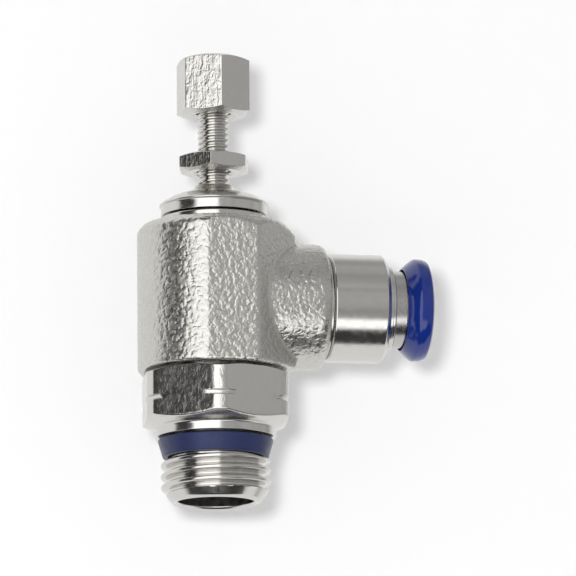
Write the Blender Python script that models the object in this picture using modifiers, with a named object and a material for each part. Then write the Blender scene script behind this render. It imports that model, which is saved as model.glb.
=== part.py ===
"""Flow control valve: a banjo bolt, a swivelling body with a push-in tube port, and a needle screw.

+Z runs up the stem to the adjusting knob and +X runs out of the tube port. The origin is on the
stem's axis, at the shoulder that closes on the face of the machine's threaded port. Metres.
"""

from math import asin, cos, hypot, pi, radians, sin

import bmesh
import bpy

MM = 0.001

# Clearances
SEAT_GAP = 0.25 * MM  # between faces that touch in the real assembly
RUN_GAP = 0.25 * MM  # on the radius, between round pieces one inside the other
CUT_PAST = 1.0 * MM  # how far a cutter runs past the face that it leaves by
EDGE_BREAK = 0.1 * MM  # the smallest chamfer that a turned edge has

# Threaded stud and its captive seal
STUD_THREAD_DIAMETER = 13.157 * MM
STUD_THREAD_PITCH = 1.337 * MM
STUD_THREAD_DEPTH = 0.856 * MM
STUD_LENGTH = 7.85 * MM
STUD_END_DIAMETER = 10.6 * MM
STUD_END_TAPER = 1.75 * MM
STUD_BORE_DIAMETER = 9.1 * MM
STUD_BORE_DEPTH = 13.3 * MM
SEAL_GROOVE_DIAMETER = 11.0 * MM
SEAL_TOP_DIAMETER = 13.84 * MM
SEAL_BOTTOM_DIAMETER = 12.7 * MM
SEAL_HEIGHT = 2.1 * MM

# Flange and wrench hexagon
FLANGE_DIAMETER = 14.5 * MM
FLANGE_HEIGHT = 1.0 * MM
HEX_ACROSS_FLATS = 17.0 * MM
HEX_CORNER_DIAMETER = 19.0 * MM  # the corners are turned down to this
HEX_HEIGHT = 6.7 * MM
HEX_LOWER_CHAMFER = 1.05 * MM
HEX_UPPER_CHAMFER = 0.5 * MM
HEX_NOTCH_RISE = 3.1 * MM  # from the flange's top to the middle of the corner notch
HEX_NOTCH_WIDTH = 0.5 * MM
HEX_NOTCH_DEPTH = 0.45 * MM
HEX_TURN = radians(25)

# Hollow stem above the hexagon
STEM_WALL = 1.2 * MM
STEM_STEP = 0.65 * MM  # the lower stem is this much larger on the radius
STEM_LAND = 0.4 * MM
WAIST_DEPTH = 0.95 * MM  # depth of the waist round the return holes
CHAMBER_DEPTH = 1.45 * MM  # depth of the flow chamber round the metering holes
PASSAGE_DIAMETER = 5.4 * MM
RETURN_HOLE_DIAMETER = 1.4 * MM
RETURN_WAIST_HEIGHT = 1.75 * MM
METERING_HOLE_DIAMETER = 2.4 * MM
METERING_BORE_DIAMETER = 7.0 * MM
LIP_SEAL_HEIGHT = 0.9 * MM
LIP_SEAL_SECTION = 1.2 * MM
LIP_WEB_SHARE = 0.8  # of half the seal's section, from each side to the edge of the groove's floor
O_RING_SECTION = 1.1 * MM

# Seat bush in the stem
SEAT_BUSH_HEIGHT = 1.7 * MM
SEAT_ORIFICE_DIAMETER = 3.0 * MM
SEAT_EDGE_CHAMFER = 0.3 * MM

# Swivel body
BODY_RADIUS = 9.3 * MM  # of the round side, away from the port, and out to the flat at the port
BODY_WIDTH = 18.0 * MM  # across the flats in front and at the back
BODY_BEVEL = 5.4 * MM  # legs of the bevels between those flats and the port's flat
BODY_HEIGHT = 17.9 * MM
BODY_EDGE_ROUND = 0.9 * MM
BODY_SHOULDER_DIAMETER = 17.2 * MM  # where the cone on top starts
BODY_SHOULDER_DROP = 0.85 * MM
BODY_FOOT_CHAMFER = 0.5 * MM
PORT_HEIGHT = 8.25 * MM  # from the body's foot to the port's axis
PORT_PASSAGE_DIAMETER = 4.6 * MM
BOSS_REACH = 13.25 * MM
BOSS_WALL = 1.2 * MM
BOSS_ROUND = 1.3 * MM
BOSS_FACE_SHARE = 0.7  # of BOSS_ROUND, how far the rim's rounding reaches in on the face
BOSS_EDGE_SHARE = 0.25  # of BOSS_ROUND, the rounding's depth a third of the way down
UPPER_RING_DROP = 5.6 * MM  # from the body's top to the upper O-ring's groove

# Gland cap and the washer under it
WASHER_HEIGHT = 0.7 * MM
WASHER_OVERHANG = 0.55 * MM  # past the body's upper bore
CAP_OVERHANG = 0.75 * MM  # past the body's upper bore
CAP_RIM_HEIGHT = 1.3 * MM
CAP_RIM_INSET = 0.2 * MM
CAP_DOME_HEIGHT = 2.4 * MM
CAP_SHOULDER_WIDTH = 0.9 * MM  # how far in the steep outer part of the dome runs
CAP_BOSS_DIAMETER = 5.0 * MM
CAP_BOSS_HEIGHT = 0.7 * MM
CAP_BOSS_FILLET = 0.7 * MM
CARTRIDGE_WALL = 0.85 * MM
CAP_RING_SECTION = 0.8 * MM

# Needle screw, lock nut and knob
SCREW_DIAMETER = 3.8 * MM
SCREW_PITCH = 0.7 * MM
SCREW_THREAD_DEPTH = 0.35 * MM
NEEDLE_GUIDE_DIAMETER = 6.1 * MM
NEEDLE_GUIDE_LENGTH = 2.0 * MM
NEEDLE_TIP_DIAMETER = 1.6 * MM
NEEDLE_CONE_LENGTH = 2.4 * MM
NEEDLE_RING_SECTION = 0.9 * MM
CLOSING_TRAVEL = 4.2 * MM
OPENING_TRAVEL = 1.4 * MM
NUT_ACROSS_FLATS = 8.0 * MM
NUT_HEIGHT = 2.2 * MM
NUT_RISE = 1.65 * MM  # from the cap's top to the nut
NUT_CHAMFER = 0.35 * MM
NUT_TURN = radians(16)
KNOB_ACROSS_FLATS = 8.0 * MM
KNOB_HEIGHT = 7.2 * MM
KNOB_RISE = 4.8 * MM  # from the nut's top to the knob
KNOB_CHAMFER = 0.45 * MM
KNOB_ROOF = 1.5 * MM
KNOB_TURN = radians(33.5)

# Push-in tube port, in distances from the stem's axis
TUBE_DIAMETER = 8.0 * MM
TUBE_CLEARANCE = 0.2 * MM
COLLET_WALL = 0.45 * MM
COLLET_TIP = 15.7 * MM
COLLET_LENGTH = 8.4 * MM
CLAW_LENGTH = 2.9 * MM
CLAW_FLARE = 0.3 * MM
CLAW_SLITS = 6
CLAW_SLIT_WIDTH = 0.5 * MM
RETAINER_WALL = 0.55 * MM
RETAINER_LENGTH = 3.95 * MM
RETAINER_LIP = 0.8 * MM  # how far the retaining ring stands out of the sleeve
SLEEVE_WALL = 0.85 * MM
SLEEVE_LENGTH = 7.05 * MM
SLEEVE_CHAMFER = 0.55 * MM
SLEEVE_STEP = 0.35 * MM  # the sleeve's spigot is this much smaller on the radius
SPIGOT_LENGTH = 5.15 * MM
TUBE_STOP_BORE = 6.2 * MM
TUBE_STOP_THICKNESS = 2.25 * MM
TUBE_STEP_LENGTH = 1.4 * MM
TUBE_RING_SECTION = 1.2 * MM
SPACER_THICKNESS = 0.8 * MM
COLLAR_DIAMETER = 12.4 * MM
COLLAR_LENGTH = 3.1 * MM
COLLAR_RISE = 1.45 * MM  # from the retaining ring to the collar's back
COLLAR_GRIP = 1.3 * MM  # how deep the collet sits in the collar
COLLAR_RIM = 1.0 * MM  # length of the collar's widest part
COLLAR_ROUND = 0.8 * MM  # how far the collar's face rounds back to its rim
COLLAR_LEAD = 0.4 * MM  # chamfer that leads the tube in
COLLAR_FLAT = 0.85 * MM  # width of the flat ring that a thumb presses
COLLAR_BACK_FLAT = 0.15 * MM  # width of the flat ring round the collet, behind the cone

# Round pieces: flat facets round the circle
WIDE_STEPS = 32
CUTTER_TURN = pi / WIDE_STEPS  # keeps a round cutter's corners off the edges of what it cuts
NARROW_STEPS = 16
RING_STEPS = 20
RING_POINTS = 6
DRILL_STEPS = 10

# Heights that follow from the sizes above
HEX_TOP = FLANGE_HEIGHT + HEX_HEIGHT
BODY_FOOT = HEX_TOP + SEAT_GAP
BODY_TOP = BODY_FOOT + BODY_HEIGHT
PORT_AXIS = BODY_FOOT + PORT_HEIGHT
STEM_TOP = BODY_TOP - SEAT_GAP
WASHER_FOOT = BODY_TOP + SEAT_GAP
CAP_FOOT = WASHER_FOOT + WASHER_HEIGHT + SEAT_GAP
CAP_TOP = CAP_FOOT + CAP_RIM_HEIGHT + CAP_DOME_HEIGHT
NUT_FOOT = CAP_TOP + NUT_RISE
NUT_TOP = NUT_FOOT + NUT_HEIGHT
KNOB_FOOT = NUT_TOP + KNOB_RISE
KNOB_TOP = KNOB_FOOT + KNOB_HEIGHT

# Radii, from the needle outwards
SCREW_HOLE_RADIUS = SCREW_DIAMETER / 2 + RUN_GAP
GUIDE_BORE_RADIUS = NEEDLE_GUIDE_DIAMETER / 2 + RUN_GAP
CARTRIDGE_RADIUS = GUIDE_BORE_RADIUS + CARTRIDGE_WALL
CARTRIDGE_BORE_RADIUS = CARTRIDGE_RADIUS + RUN_GAP
STEM_RADIUS = CARTRIDGE_BORE_RADIUS + STEM_WALL
LOWER_STEM_RADIUS = STEM_RADIUS + STEM_STEP
BODY_BORE_RADIUS = STEM_RADIUS + RUN_GAP
LOWER_BORE_RADIUS = LOWER_STEM_RADIUS + RUN_GAP
CHAMBER_RADIUS = LOWER_STEM_RADIUS - CHAMBER_DEPTH
WAIST_RADIUS = LOWER_STEM_RADIUS - WAIST_DEPTH
CAP_RADIUS = BODY_BORE_RADIUS + CAP_OVERHANG
WASHER_RADIUS = BODY_BORE_RADIUS + WASHER_OVERHANG

# The stem's grooves, from the hexagon up
RING_GROOVE_HEIGHT = O_RING_SECTION + 2 * SEAT_GAP
LOWER_GROOVE_FOOT = HEX_TOP + STEM_LAND
LOWER_GROOVE_TOP = LOWER_GROOVE_FOOT + RING_GROOVE_HEIGHT
LOWER_GROOVE_RADIUS = LOWER_STEM_RADIUS - RUN_GAP - O_RING_SECTION
CHAMBER_FOOT = PORT_AXIS - PORT_PASSAGE_DIAMETER / 2
CHAMBER_TOP = PORT_AXIS + PORT_PASSAGE_DIAMETER / 2
LIP_GROOVE_TOP = CHAMBER_FOOT - STEM_LAND / 2
LIP_GROOVE_FOOT = LIP_GROOVE_TOP - LIP_SEAL_HEIGHT - 2 * SEAT_GAP
LIP_GROOVE_RADIUS = LOWER_STEM_RADIUS - RUN_GAP - LIP_SEAL_SECTION
WAIST_TOP = LIP_GROOVE_FOOT - STEM_LAND / 2
WAIST_FOOT = WAIST_TOP - RETURN_WAIST_HEIGHT

# The seat bush, the cartridge and the needle's rest place
SEAT_SHOULDER = WAIST_TOP
SEAT_TOP = SEAT_SHOULDER + SEAT_GAP + SEAT_BUSH_HEIGHT
CARTRIDGE_SHOULDER = CHAMBER_TOP + STEM_LAND / 2
CARTRIDGE_FOOT = CARTRIDGE_SHOULDER + SEAT_GAP
CARTRIDGE_ROOF = CAP_FOOT + STEM_LAND
GUIDE_TOP = CARTRIDGE_ROOF - SEAT_GAP - OPENING_TRAVEL
GUIDE_FOOT = GUIDE_TOP - NEEDLE_GUIDE_LENGTH
NEEDLE_TAPER = (SCREW_DIAMETER - NEEDLE_TIP_DIAMETER) / NEEDLE_CONE_LENGTH
NEEDLE_TIP = (
    SEAT_TOP + CLOSING_TRAVEL + SEAT_GAP - (SEAT_ORIFICE_DIAMETER - NEEDLE_TIP_DIAMETER) / NEEDLE_TAPER
)

# The tube port, from the tube outwards and from the stem's axis out
TUBE_BORE_RADIUS = TUBE_DIAMETER / 2 + TUBE_CLEARANCE
COLLET_RADIUS = TUBE_BORE_RADIUS + COLLET_WALL
RETAINER_BORE_RADIUS = COLLET_RADIUS + RUN_GAP
RETAINER_RADIUS = RETAINER_BORE_RADIUS + RETAINER_WALL
MOUTH_RADIUS = RETAINER_RADIUS + RUN_GAP
SLEEVE_RADIUS = MOUTH_RADIUS + SLEEVE_WALL
SPIGOT_RADIUS = SLEEVE_RADIUS - SLEEVE_STEP
SOCKET_RADIUS = SPIGOT_RADIUS + RUN_GAP
BOSS_RADIUS = SOCKET_RADIUS + BOSS_WALL
CLAW_CHAMBER_RADIUS = MOUTH_RADIUS - CLAW_FLARE
SLEEVE_FOOT = BOSS_REACH + SEAT_GAP
SLEEVE_END = SLEEVE_FOOT + SLEEVE_LENGTH
SPIGOT_FOOT = SLEEVE_FOOT - SPIGOT_LENGTH
RETAINER_END = SLEEVE_END + RETAINER_LIP
RETAINER_FOOT = RETAINER_END - RETAINER_LENGTH
TUBE_STOP = SPIGOT_FOOT + TUBE_STOP_THICKNESS
TUBE_RING_FOOT = TUBE_STOP + TUBE_STEP_LENGTH
SPACER_FOOT = TUBE_RING_FOOT + TUBE_RING_SECTION + 2 * SEAT_GAP
COLLAR_BACK = RETAINER_END + COLLAR_RISE
COLLAR_FACE = COLLAR_BACK + COLLAR_LENGTH
COLLET_END = COLLET_TIP + COLLET_LENGTH


def clear_scene():
    """Remove every object that the file opened with."""
    for item in list(bpy.data.objects):
        bpy.data.objects.remove(item, do_unlink=True)


def collection(name):
    """Return a new collection that the scene shows."""
    made = bpy.data.collections.new(name)
    bpy.context.scene.collection.children.link(made)
    return made


def material(name, colour, roughness, metallic):
    """Return a Principled material."""
    made = bpy.data.materials.new(name)
    made.use_nodes = True
    shader = made.node_tree.nodes["Principled BSDF"]
    shader.inputs["Base Color"].default_value = (*colour, 1.0)
    shader.inputs["Roughness"].default_value = roughness
    shader.inputs["Metallic"].default_value = metallic
    return made


def frame(name, parent=None, height=0.0, turned_to_x=False):
    """Return an empty on an axis that pieces share; turned to X, its own Z runs out of the port."""
    empty = bpy.data.objects.new(name, None)
    PARTS.objects.link(empty)
    empty.parent = parent
    empty.location.z = height
    if turned_to_x:
        empty.rotation_euler.y = pi / 2
    return empty


def place(piece, parent, finish=None):
    """Put a piece in its collection under its frame; a piece with no finish is a cutter."""
    piece.parent = parent
    if finish:
        PARTS.objects.link(piece)
        piece.data.materials.append(finish)
    else:
        CUTTERS.objects.link(piece)
        piece.hide_render = True
        piece.display_type = "WIRE"
        piece.rotation_euler.z = CUTTER_TURN
    return piece


def turned(name, profile, parent, finish=None, closed=False, steps=WIDE_STEPS):
    """Turn a profile of (radius, height) points round the frame's Z; it runs down the outer side."""
    edges = [(i, i + 1) for i in range(len(profile) - 1)]
    if closed:
        edges.append((len(profile) - 1, 0))
    mesh = bpy.data.meshes.new(name)
    mesh.from_pydata([(radius, 0.0, height) for radius, height in profile], edges, [])
    piece = place(bpy.data.objects.new(name, mesh), parent, finish)
    screw = piece.modifiers.new("turn", "SCREW")
    screw.steps = steps
    screw.render_steps = steps
    screw.use_merge_vertices = True
    screw.merge_threshold = 0.00001
    screw.use_smooth_shade = True
    return piece


def prism(name, sides, across_flats, foot, top, parent, turn=0.0, finish=None):
    """Make an upright prism with regular sides; turn is the angle of one corner from X."""
    radius = across_flats / 2 / cos(pi / sides)
    cage = bmesh.new()
    bmesh.ops.create_cone(
        cage, cap_ends=True, segments=sides, radius1=radius, radius2=radius, depth=top - foot
    )
    bmesh.ops.translate(cage, verts=cage.verts, vec=(0.0, 0.0, (top + foot) / 2))
    corner = max(cage.verts, key=lambda vertex: vertex.co.x)
    start = corner.co.to_2d().angle_signed((1.0, 0.0))
    mesh = bpy.data.meshes.new(name)
    cage.to_mesh(mesh)
    cage.free()
    piece = place(bpy.data.objects.new(name, mesh), parent, finish)
    piece.rotation_euler.z = turn - start
    return piece


def boolean(piece, other, operation="DIFFERENCE"):
    """Cut, join or trim a piece with another solid."""
    modifier = piece.modifiers.new(other.name, "BOOLEAN")
    modifier.operation = operation
    modifier.solver = "EXACT"
    modifier.object = other


def cross_drill(piece, name, diameter, height, parent, holes):
    """Drill evenly spaced holes through a round wall, in pairs that share one drill."""
    for number in range(holes // 2):
        cage = bmesh.new()
        bmesh.ops.create_cone(
            cage,
            cap_ends=True,
            segments=DRILL_STEPS,
            radius1=diameter / 2,
            radius2=diameter / 2,
            depth=2 * (LOWER_STEM_RADIUS + CUT_PAST),
        )
        mesh = bpy.data.meshes.new(name)
        cage.to_mesh(mesh)
        cage.free()
        drill = place(bpy.data.objects.new(f"{name}_{number + 1}", mesh), parent)
        drill.location.z = height
        drill.rotation_euler = (pi / 2, 0.0, pi * 2 * number / holes)
        boolean(piece, drill)


def thread(radius, depth, pitch, top, foot, tip_radius=None, taper=1.0):
    """Ridges for a male thread, as profile points from top to foot, tapering to tip_radius."""
    count = int((top - foot) / pitch)
    points = []
    for turn in range(count):
        start = top - turn * pitch
        for share, height in ((0.0, radius - depth), (0.5, radius)):
            level = start - share * pitch
            limit = radius if tip_radius is None else tip_radius + (level - foot) * taper
            points.append((min(height, limit), level))
    points.append((min(radius - depth, points[-1][0]), top - count * pitch))
    return points


def ring_section(inner_radius, section, height):
    """The round section of an O-ring, as a closed profile that runs down its outer side."""
    middle = inner_radius + section / 2
    return [
        (
            middle + section / 2 * cos(2 * pi * point / RING_POINTS),
            height - section / 2 * sin(2 * pi * point / RING_POINTS),
        )
        for point in range(RING_POINTS)
    ]


def o_ring(name, inner_radius, section, height, parent, finish):
    """Make an O-ring round the frame's Z."""
    profile = ring_section(inner_radius, section, height)
    return turned(name, profile, parent, finish, closed=True, steps=RING_STEPS)


def make_banjo_bolt(parent, finish):
    """The threaded stud, the wrench hexagon and the hollow stem, turned from one bar."""
    slope = (STUD_THREAD_DIAMETER - STUD_END_DIAMETER) / 2 / STUD_END_TAPER
    groove_foot = -SEAL_HEIGHT - 2 * SEAT_GAP
    ridges = thread(
        STUD_THREAD_DIAMETER / 2,
        STUD_THREAD_DEPTH,
        STUD_THREAD_PITCH,
        groove_foot,
        -STUD_LENGTH,
        STUD_END_DIAMETER / 2,
        slope,
    )
    profile = [
        (0.0, STEM_TOP),
        (STEM_RADIUS, STEM_TOP),
        (STEM_RADIUS, CHAMBER_TOP),
        (CHAMBER_RADIUS, CHAMBER_TOP),
        (CHAMBER_RADIUS, CHAMBER_FOOT),
        (LOWER_STEM_RADIUS, CHAMBER_FOOT),
        (LOWER_STEM_RADIUS, LIP_GROOVE_TOP),
        (LIP_GROOVE_RADIUS, LIP_GROOVE_TOP),
        (LIP_GROOVE_RADIUS, LIP_GROOVE_FOOT),
        (LOWER_STEM_RADIUS, LIP_GROOVE_FOOT),
        (LOWER_STEM_RADIUS, WAIST_TOP),
        (WAIST_RADIUS, WAIST_TOP),
        (WAIST_RADIUS, WAIST_FOOT),
        (LOWER_STEM_RADIUS, WAIST_FOOT),
        (LOWER_STEM_RADIUS, LOWER_GROOVE_TOP),
        (LOWER_GROOVE_RADIUS, LOWER_GROOVE_TOP),
        (LOWER_GROOVE_RADIUS, LOWER_GROOVE_FOOT),
        (LOWER_STEM_RADIUS, LOWER_GROOVE_FOOT),
        (LOWER_STEM_RADIUS, HEX_TOP - CUT_PAST),
        (FLANGE_DIAMETER / 2, HEX_TOP - 2 * CUT_PAST),
        (FLANGE_DIAMETER / 2, 0.0),
        (SEAL_GROOVE_DIAMETER / 2, 0.0),
        (SEAL_GROOVE_DIAMETER / 2, groove_foot),
        *ridges[1:],
        (STUD_END_DIAMETER / 2, -STUD_LENGTH),
        (0.0, -STUD_LENGTH),
    ]
    bolt = turned("banjo_bolt", profile, parent, finish)
    boolean(bolt, make_wrench_hexagon(parent), "UNION")
    boolean(bolt, make_bolt_bore(parent))
    cross_drill(bolt, "metering_drill", METERING_HOLE_DIAMETER, PORT_AXIS, parent, 4)
    cross_drill(bolt, "return_drill", RETURN_HOLE_DIAMETER, (WAIST_TOP + WAIST_FOOT) / 2, parent, 4)
    return bolt


def make_wrench_hexagon(parent):
    """The hexagon, trimmed by a turned blank that gives its chamfers, round corners and notch."""
    corner = HEX_CORNER_DIAMETER / 2
    notch = FLANGE_HEIGHT + HEX_NOTCH_RISE
    hexagon = prism("wrench_hexagon", 6, HEX_ACROSS_FLATS, FLANGE_HEIGHT, HEX_TOP, parent, HEX_TURN)
    blank = [
        (0.0, HEX_TOP + CUT_PAST),
        (corner - HEX_UPPER_CHAMFER - CUT_PAST, HEX_TOP + CUT_PAST),
        (corner, HEX_TOP - HEX_UPPER_CHAMFER),
        (corner, notch + HEX_NOTCH_WIDTH / 2),
        (corner - HEX_NOTCH_DEPTH, notch + HEX_NOTCH_WIDTH / 2),
        (corner - HEX_NOTCH_DEPTH, notch - HEX_NOTCH_WIDTH / 2),
        (corner, notch - HEX_NOTCH_WIDTH / 2),
        (corner, FLANGE_HEIGHT + HEX_LOWER_CHAMFER),
        (FLANGE_DIAMETER / 2, FLANGE_HEIGHT - CUT_PAST / 4),
        (0.0, FLANGE_HEIGHT - CUT_PAST),
    ]
    boolean(hexagon, turned("hexagon_blank", blank, parent), "INTERSECT")
    return hexagon


def make_bolt_bore(parent):
    """The stepped bore: stud bore, passage, metering bore and the cartridge's bore."""
    stud_bore_top = STUD_BORE_DEPTH - STUD_LENGTH
    profile = [
        (0.0, STEM_TOP + CUT_PAST),
        (CARTRIDGE_BORE_RADIUS, STEM_TOP + CUT_PAST),
        (CARTRIDGE_BORE_RADIUS, CARTRIDGE_SHOULDER),
        (METERING_BORE_DIAMETER / 2, CARTRIDGE_SHOULDER),
        (METERING_BORE_DIAMETER / 2, SEAT_SHOULDER),
        (PASSAGE_DIAMETER / 2, SEAT_SHOULDER),
        (PASSAGE_DIAMETER / 2, stud_bore_top),
        (STUD_BORE_DIAMETER / 2, stud_bore_top - (STUD_BORE_DIAMETER - PASSAGE_DIAMETER) / 4),
        (STUD_BORE_DIAMETER / 2, -STUD_LENGTH - CUT_PAST),
        (0.0, -STUD_LENGTH - CUT_PAST),
    ]
    return turned("bolt_bore", profile, parent, steps=NARROW_STEPS)


def make_thread_seal(parent, finish):
    """The tapered captive seal in the groove under the flange."""
    inner = SEAL_GROOVE_DIAMETER / 2 + RUN_GAP
    top = -SEAT_GAP
    foot = top - SEAL_HEIGHT
    profile = [
        (SEAL_TOP_DIAMETER / 2 - EDGE_BREAK, top),
        (SEAL_TOP_DIAMETER / 2, top - EDGE_BREAK),
        (SEAL_BOTTOM_DIAMETER / 2, foot),
        (inner, foot),
        (inner, top),
    ]
    return turned("thread_seal_ring", profile, parent, finish, closed=True)


def make_lip_seal(parent, finish):
    """The one-way seal: a U section whose outer lip leans out towards the chamber."""
    inner = LIP_GROOVE_RADIUS + RUN_GAP
    outer = inner + LIP_SEAL_SECTION
    foot = LIP_GROOVE_FOOT + SEAT_GAP
    top = foot + LIP_SEAL_HEIGHT
    lip = LIP_SEAL_SECTION / 4
    web = LIP_WEB_SHARE * LIP_SEAL_SECTION / 2
    web_top = foot + LIP_SEAL_HEIGHT / 3
    profile = [
        (outer, top),
        (outer - lip, foot),
        (inner, foot),
        (inner, top),
        (inner + lip, top),
        (inner + web, web_top),
        (outer - web, web_top),
        (outer - lip / 2, top),
    ]
    return turned("check_lip_seal", profile, parent, finish, closed=True, steps=RING_STEPS)


def make_seat_bush(parent, finish):
    """The bush that the needle closes on."""
    outer = METERING_BORE_DIAMETER / 2 - RUN_GAP
    inner = SEAT_ORIFICE_DIAMETER / 2
    profile = [
        (outer, SEAT_TOP),
        (outer, SEAT_SHOULDER + SEAT_GAP),
        (inner, SEAT_SHOULDER + SEAT_GAP),
        (inner, SEAT_TOP - SEAT_EDGE_CHAMFER),
        (inner + SEAT_EDGE_CHAMFER, SEAT_TOP),
    ]
    return turned("seat_bush", profile, parent, finish, closed=True, steps=NARROW_STEPS)


def make_gland_cap(parent, finish):
    """The domed cap, whose cartridge screws into the stem and guides the needle."""
    rim = CAP_TOP - CAP_DOME_HEIGHT
    boss = CAP_BOSS_DIAMETER / 2
    profile = [
        (boss - CAP_RIM_INSET, CAP_TOP),
        (boss, CAP_TOP - CAP_BOSS_HEIGHT / 2),
        (boss + CAP_BOSS_FILLET, CAP_TOP - CAP_BOSS_HEIGHT),
        (CAP_RADIUS - CAP_SHOULDER_WIDTH, rim + CAP_SHOULDER_WIDTH - CAP_RIM_INSET),
        (CAP_RADIUS - CAP_RIM_INSET, rim + CAP_RIM_INSET),
        (CAP_RADIUS, rim),
        (CAP_RADIUS - CAP_RIM_INSET, rim - CAP_RIM_INSET),
        (CAP_RADIUS - CAP_RIM_INSET, CAP_FOOT),
        (CARTRIDGE_RADIUS, CAP_FOOT),
        (CARTRIDGE_RADIUS, CARTRIDGE_FOOT),
        (GUIDE_BORE_RADIUS, CARTRIDGE_FOOT),
        (GUIDE_BORE_RADIUS, CARTRIDGE_ROOF),
        (SCREW_HOLE_RADIUS, CARTRIDGE_ROOF),
        (SCREW_HOLE_RADIUS, CAP_TOP),
    ]
    return turned("gland_cap", profile, parent, finish, closed=True)


def make_thrust_washer(parent, finish):
    """The washer that the body turns against, under the cap."""
    inner = CARTRIDGE_RADIUS + 2 * RUN_GAP + CAP_RING_SECTION
    profile = [
        (WASHER_RADIUS, WASHER_FOOT + WASHER_HEIGHT),
        (WASHER_RADIUS, WASHER_FOOT),
        (inner, WASHER_FOOT),
        (inner, WASHER_FOOT + WASHER_HEIGHT),
    ]
    return turned("thrust_washer", profile, parent, finish, closed=True)


def make_stem_seals(parent, finish):
    """The O-rings between the stem and the body, and the one under the cap."""
    radius = LOWER_GROOVE_RADIUS + RUN_GAP
    height = (LOWER_GROOVE_FOOT + LOWER_GROOVE_TOP) / 2
    o_ring("lower_stem_o_ring", radius, O_RING_SECTION, height, parent, finish)
    radius = CARTRIDGE_RADIUS + RUN_GAP
    height = (STEM_TOP + CAP_FOOT) / 2
    o_ring("cap_o_ring", radius, CAP_RING_SECTION, height, parent, finish)


def make_barrel(parent, finish):
    """The barrel: round away from the port, flat in front and behind, bevelled beside the port."""
    flat = BODY_WIDTH / 2
    first = pi - asin(flat / BODY_RADIUS)
    sweep = 2 * (pi - first)
    angles = [first + sweep * step / WIDE_STEPS for step in range(WIDE_STEPS + 1)]
    outline = [(BODY_RADIUS * cos(angle), BODY_RADIUS * sin(angle)) for angle in angles]
    outline += [
        (BODY_RADIUS - BODY_BEVEL, -flat),
        (BODY_RADIUS, BODY_BEVEL - flat),
        (BODY_RADIUS, flat - BODY_BEVEL),
        (BODY_RADIUS - BODY_BEVEL, flat),
    ]
    cage = bmesh.new()
    foot = cage.faces.new([cage.verts.new((x, y, BODY_FOOT)) for x, y in outline])
    made = bmesh.ops.extrude_face_region(cage, geom=[foot])["geom"]
    top = [item for item in made if isinstance(item, bmesh.types.BMVert)]
    bmesh.ops.translate(cage, verts=top, vec=(0.0, 0.0, BODY_TOP - BODY_FOOT))
    bmesh.ops.recalc_face_normals(cage, faces=cage.faces)
    mesh = bpy.data.meshes.new("swivel_body")
    cage.to_mesh(mesh)
    cage.free()
    return place(bpy.data.objects.new("swivel_body", mesh), parent, finish)


def make_swivel_body(parent, port, finish):
    """The cast body: the barrel trimmed by a turned blank, with a round side boss."""
    shoulder = BODY_SHOULDER_DIAMETER / 2
    corner = hypot(BODY_RADIUS, BODY_WIDTH / 2 - BODY_BEVEL)
    body = make_barrel(parent, finish)
    rounding = body.modifiers.new("edge_round", "BEVEL")
    rounding.width = BODY_EDGE_ROUND
    rounding.segments = 2
    rounding.limit_method = "ANGLE"
    rounding.angle_limit = radians(30)
    slope = BODY_SHOULDER_DROP / (BODY_RADIUS - shoulder)
    beyond = corner + CUT_PAST
    blank = [
        (0.0, BODY_TOP + CUT_PAST),
        (shoulder - CUT_PAST / slope, BODY_TOP + CUT_PAST),
        (beyond, BODY_TOP - slope * (beyond - shoulder)),
        (beyond, BODY_FOOT + BODY_FOOT_CHAMFER + CUT_PAST),
        (corner - BODY_FOOT_CHAMFER - CUT_PAST, BODY_FOOT - CUT_PAST),
        (0.0, BODY_FOOT - CUT_PAST),
    ]
    boolean(body, turned("body_blank", blank, parent), "INTERSECT")
    boolean(body, make_boss(port), "UNION")
    boolean(body, make_body_bore(parent))
    boolean(body, make_port_socket(port))
    return body


def make_boss(port):
    """The round side boss with a rounded rim."""
    profile = [
        (0.0, BOSS_REACH),
        (BOSS_RADIUS - BOSS_ROUND * BOSS_FACE_SHARE, BOSS_REACH),
        (BOSS_RADIUS - BOSS_ROUND * BOSS_EDGE_SHARE, BOSS_REACH - BOSS_ROUND / 3),
        (BOSS_RADIUS, BOSS_REACH - BOSS_ROUND),
        (BOSS_RADIUS, LOWER_BORE_RADIUS - CUT_PAST),
        (0.0, LOWER_BORE_RADIUS - CUT_PAST),
    ]
    return turned("side_boss", profile, port)


def make_body_bore(parent):
    """The stepped bore for the stem, with the groove of the upper O-ring."""
    step = CHAMBER_TOP + STEM_LAND
    groove_top = BODY_TOP - UPPER_RING_DROP
    groove_foot = groove_top - RING_GROOVE_HEIGHT
    groove_radius = STEM_RADIUS + 2 * RUN_GAP + O_RING_SECTION
    profile = [
        (0.0, BODY_TOP + CUT_PAST),
        (BODY_BORE_RADIUS, BODY_TOP + CUT_PAST),
        (BODY_BORE_RADIUS, groove_top),
        (groove_radius, groove_top),
        (groove_radius, groove_foot),
        (BODY_BORE_RADIUS, groove_foot),
        (BODY_BORE_RADIUS, step),
        (LOWER_BORE_RADIUS, step),
        (LOWER_BORE_RADIUS, BODY_FOOT - CUT_PAST),
        (0.0, BODY_FOOT - CUT_PAST),
    ]
    return turned("body_bore", profile, parent)


def make_port_socket(port):
    """The socket for the sleeve and the passage from it into the flow chamber."""
    profile = [
        (0.0, BOSS_REACH + CUT_PAST),
        (SOCKET_RADIUS, BOSS_REACH + CUT_PAST),
        (SOCKET_RADIUS, SPIGOT_FOOT - SEAT_GAP),
        (PORT_PASSAGE_DIAMETER / 2, SPIGOT_FOOT - SEAT_GAP),
        (PORT_PASSAGE_DIAMETER / 2, CHAMBER_RADIUS),
        (0.0, CHAMBER_RADIUS),
    ]
    return turned("port_socket", profile, port)


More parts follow.
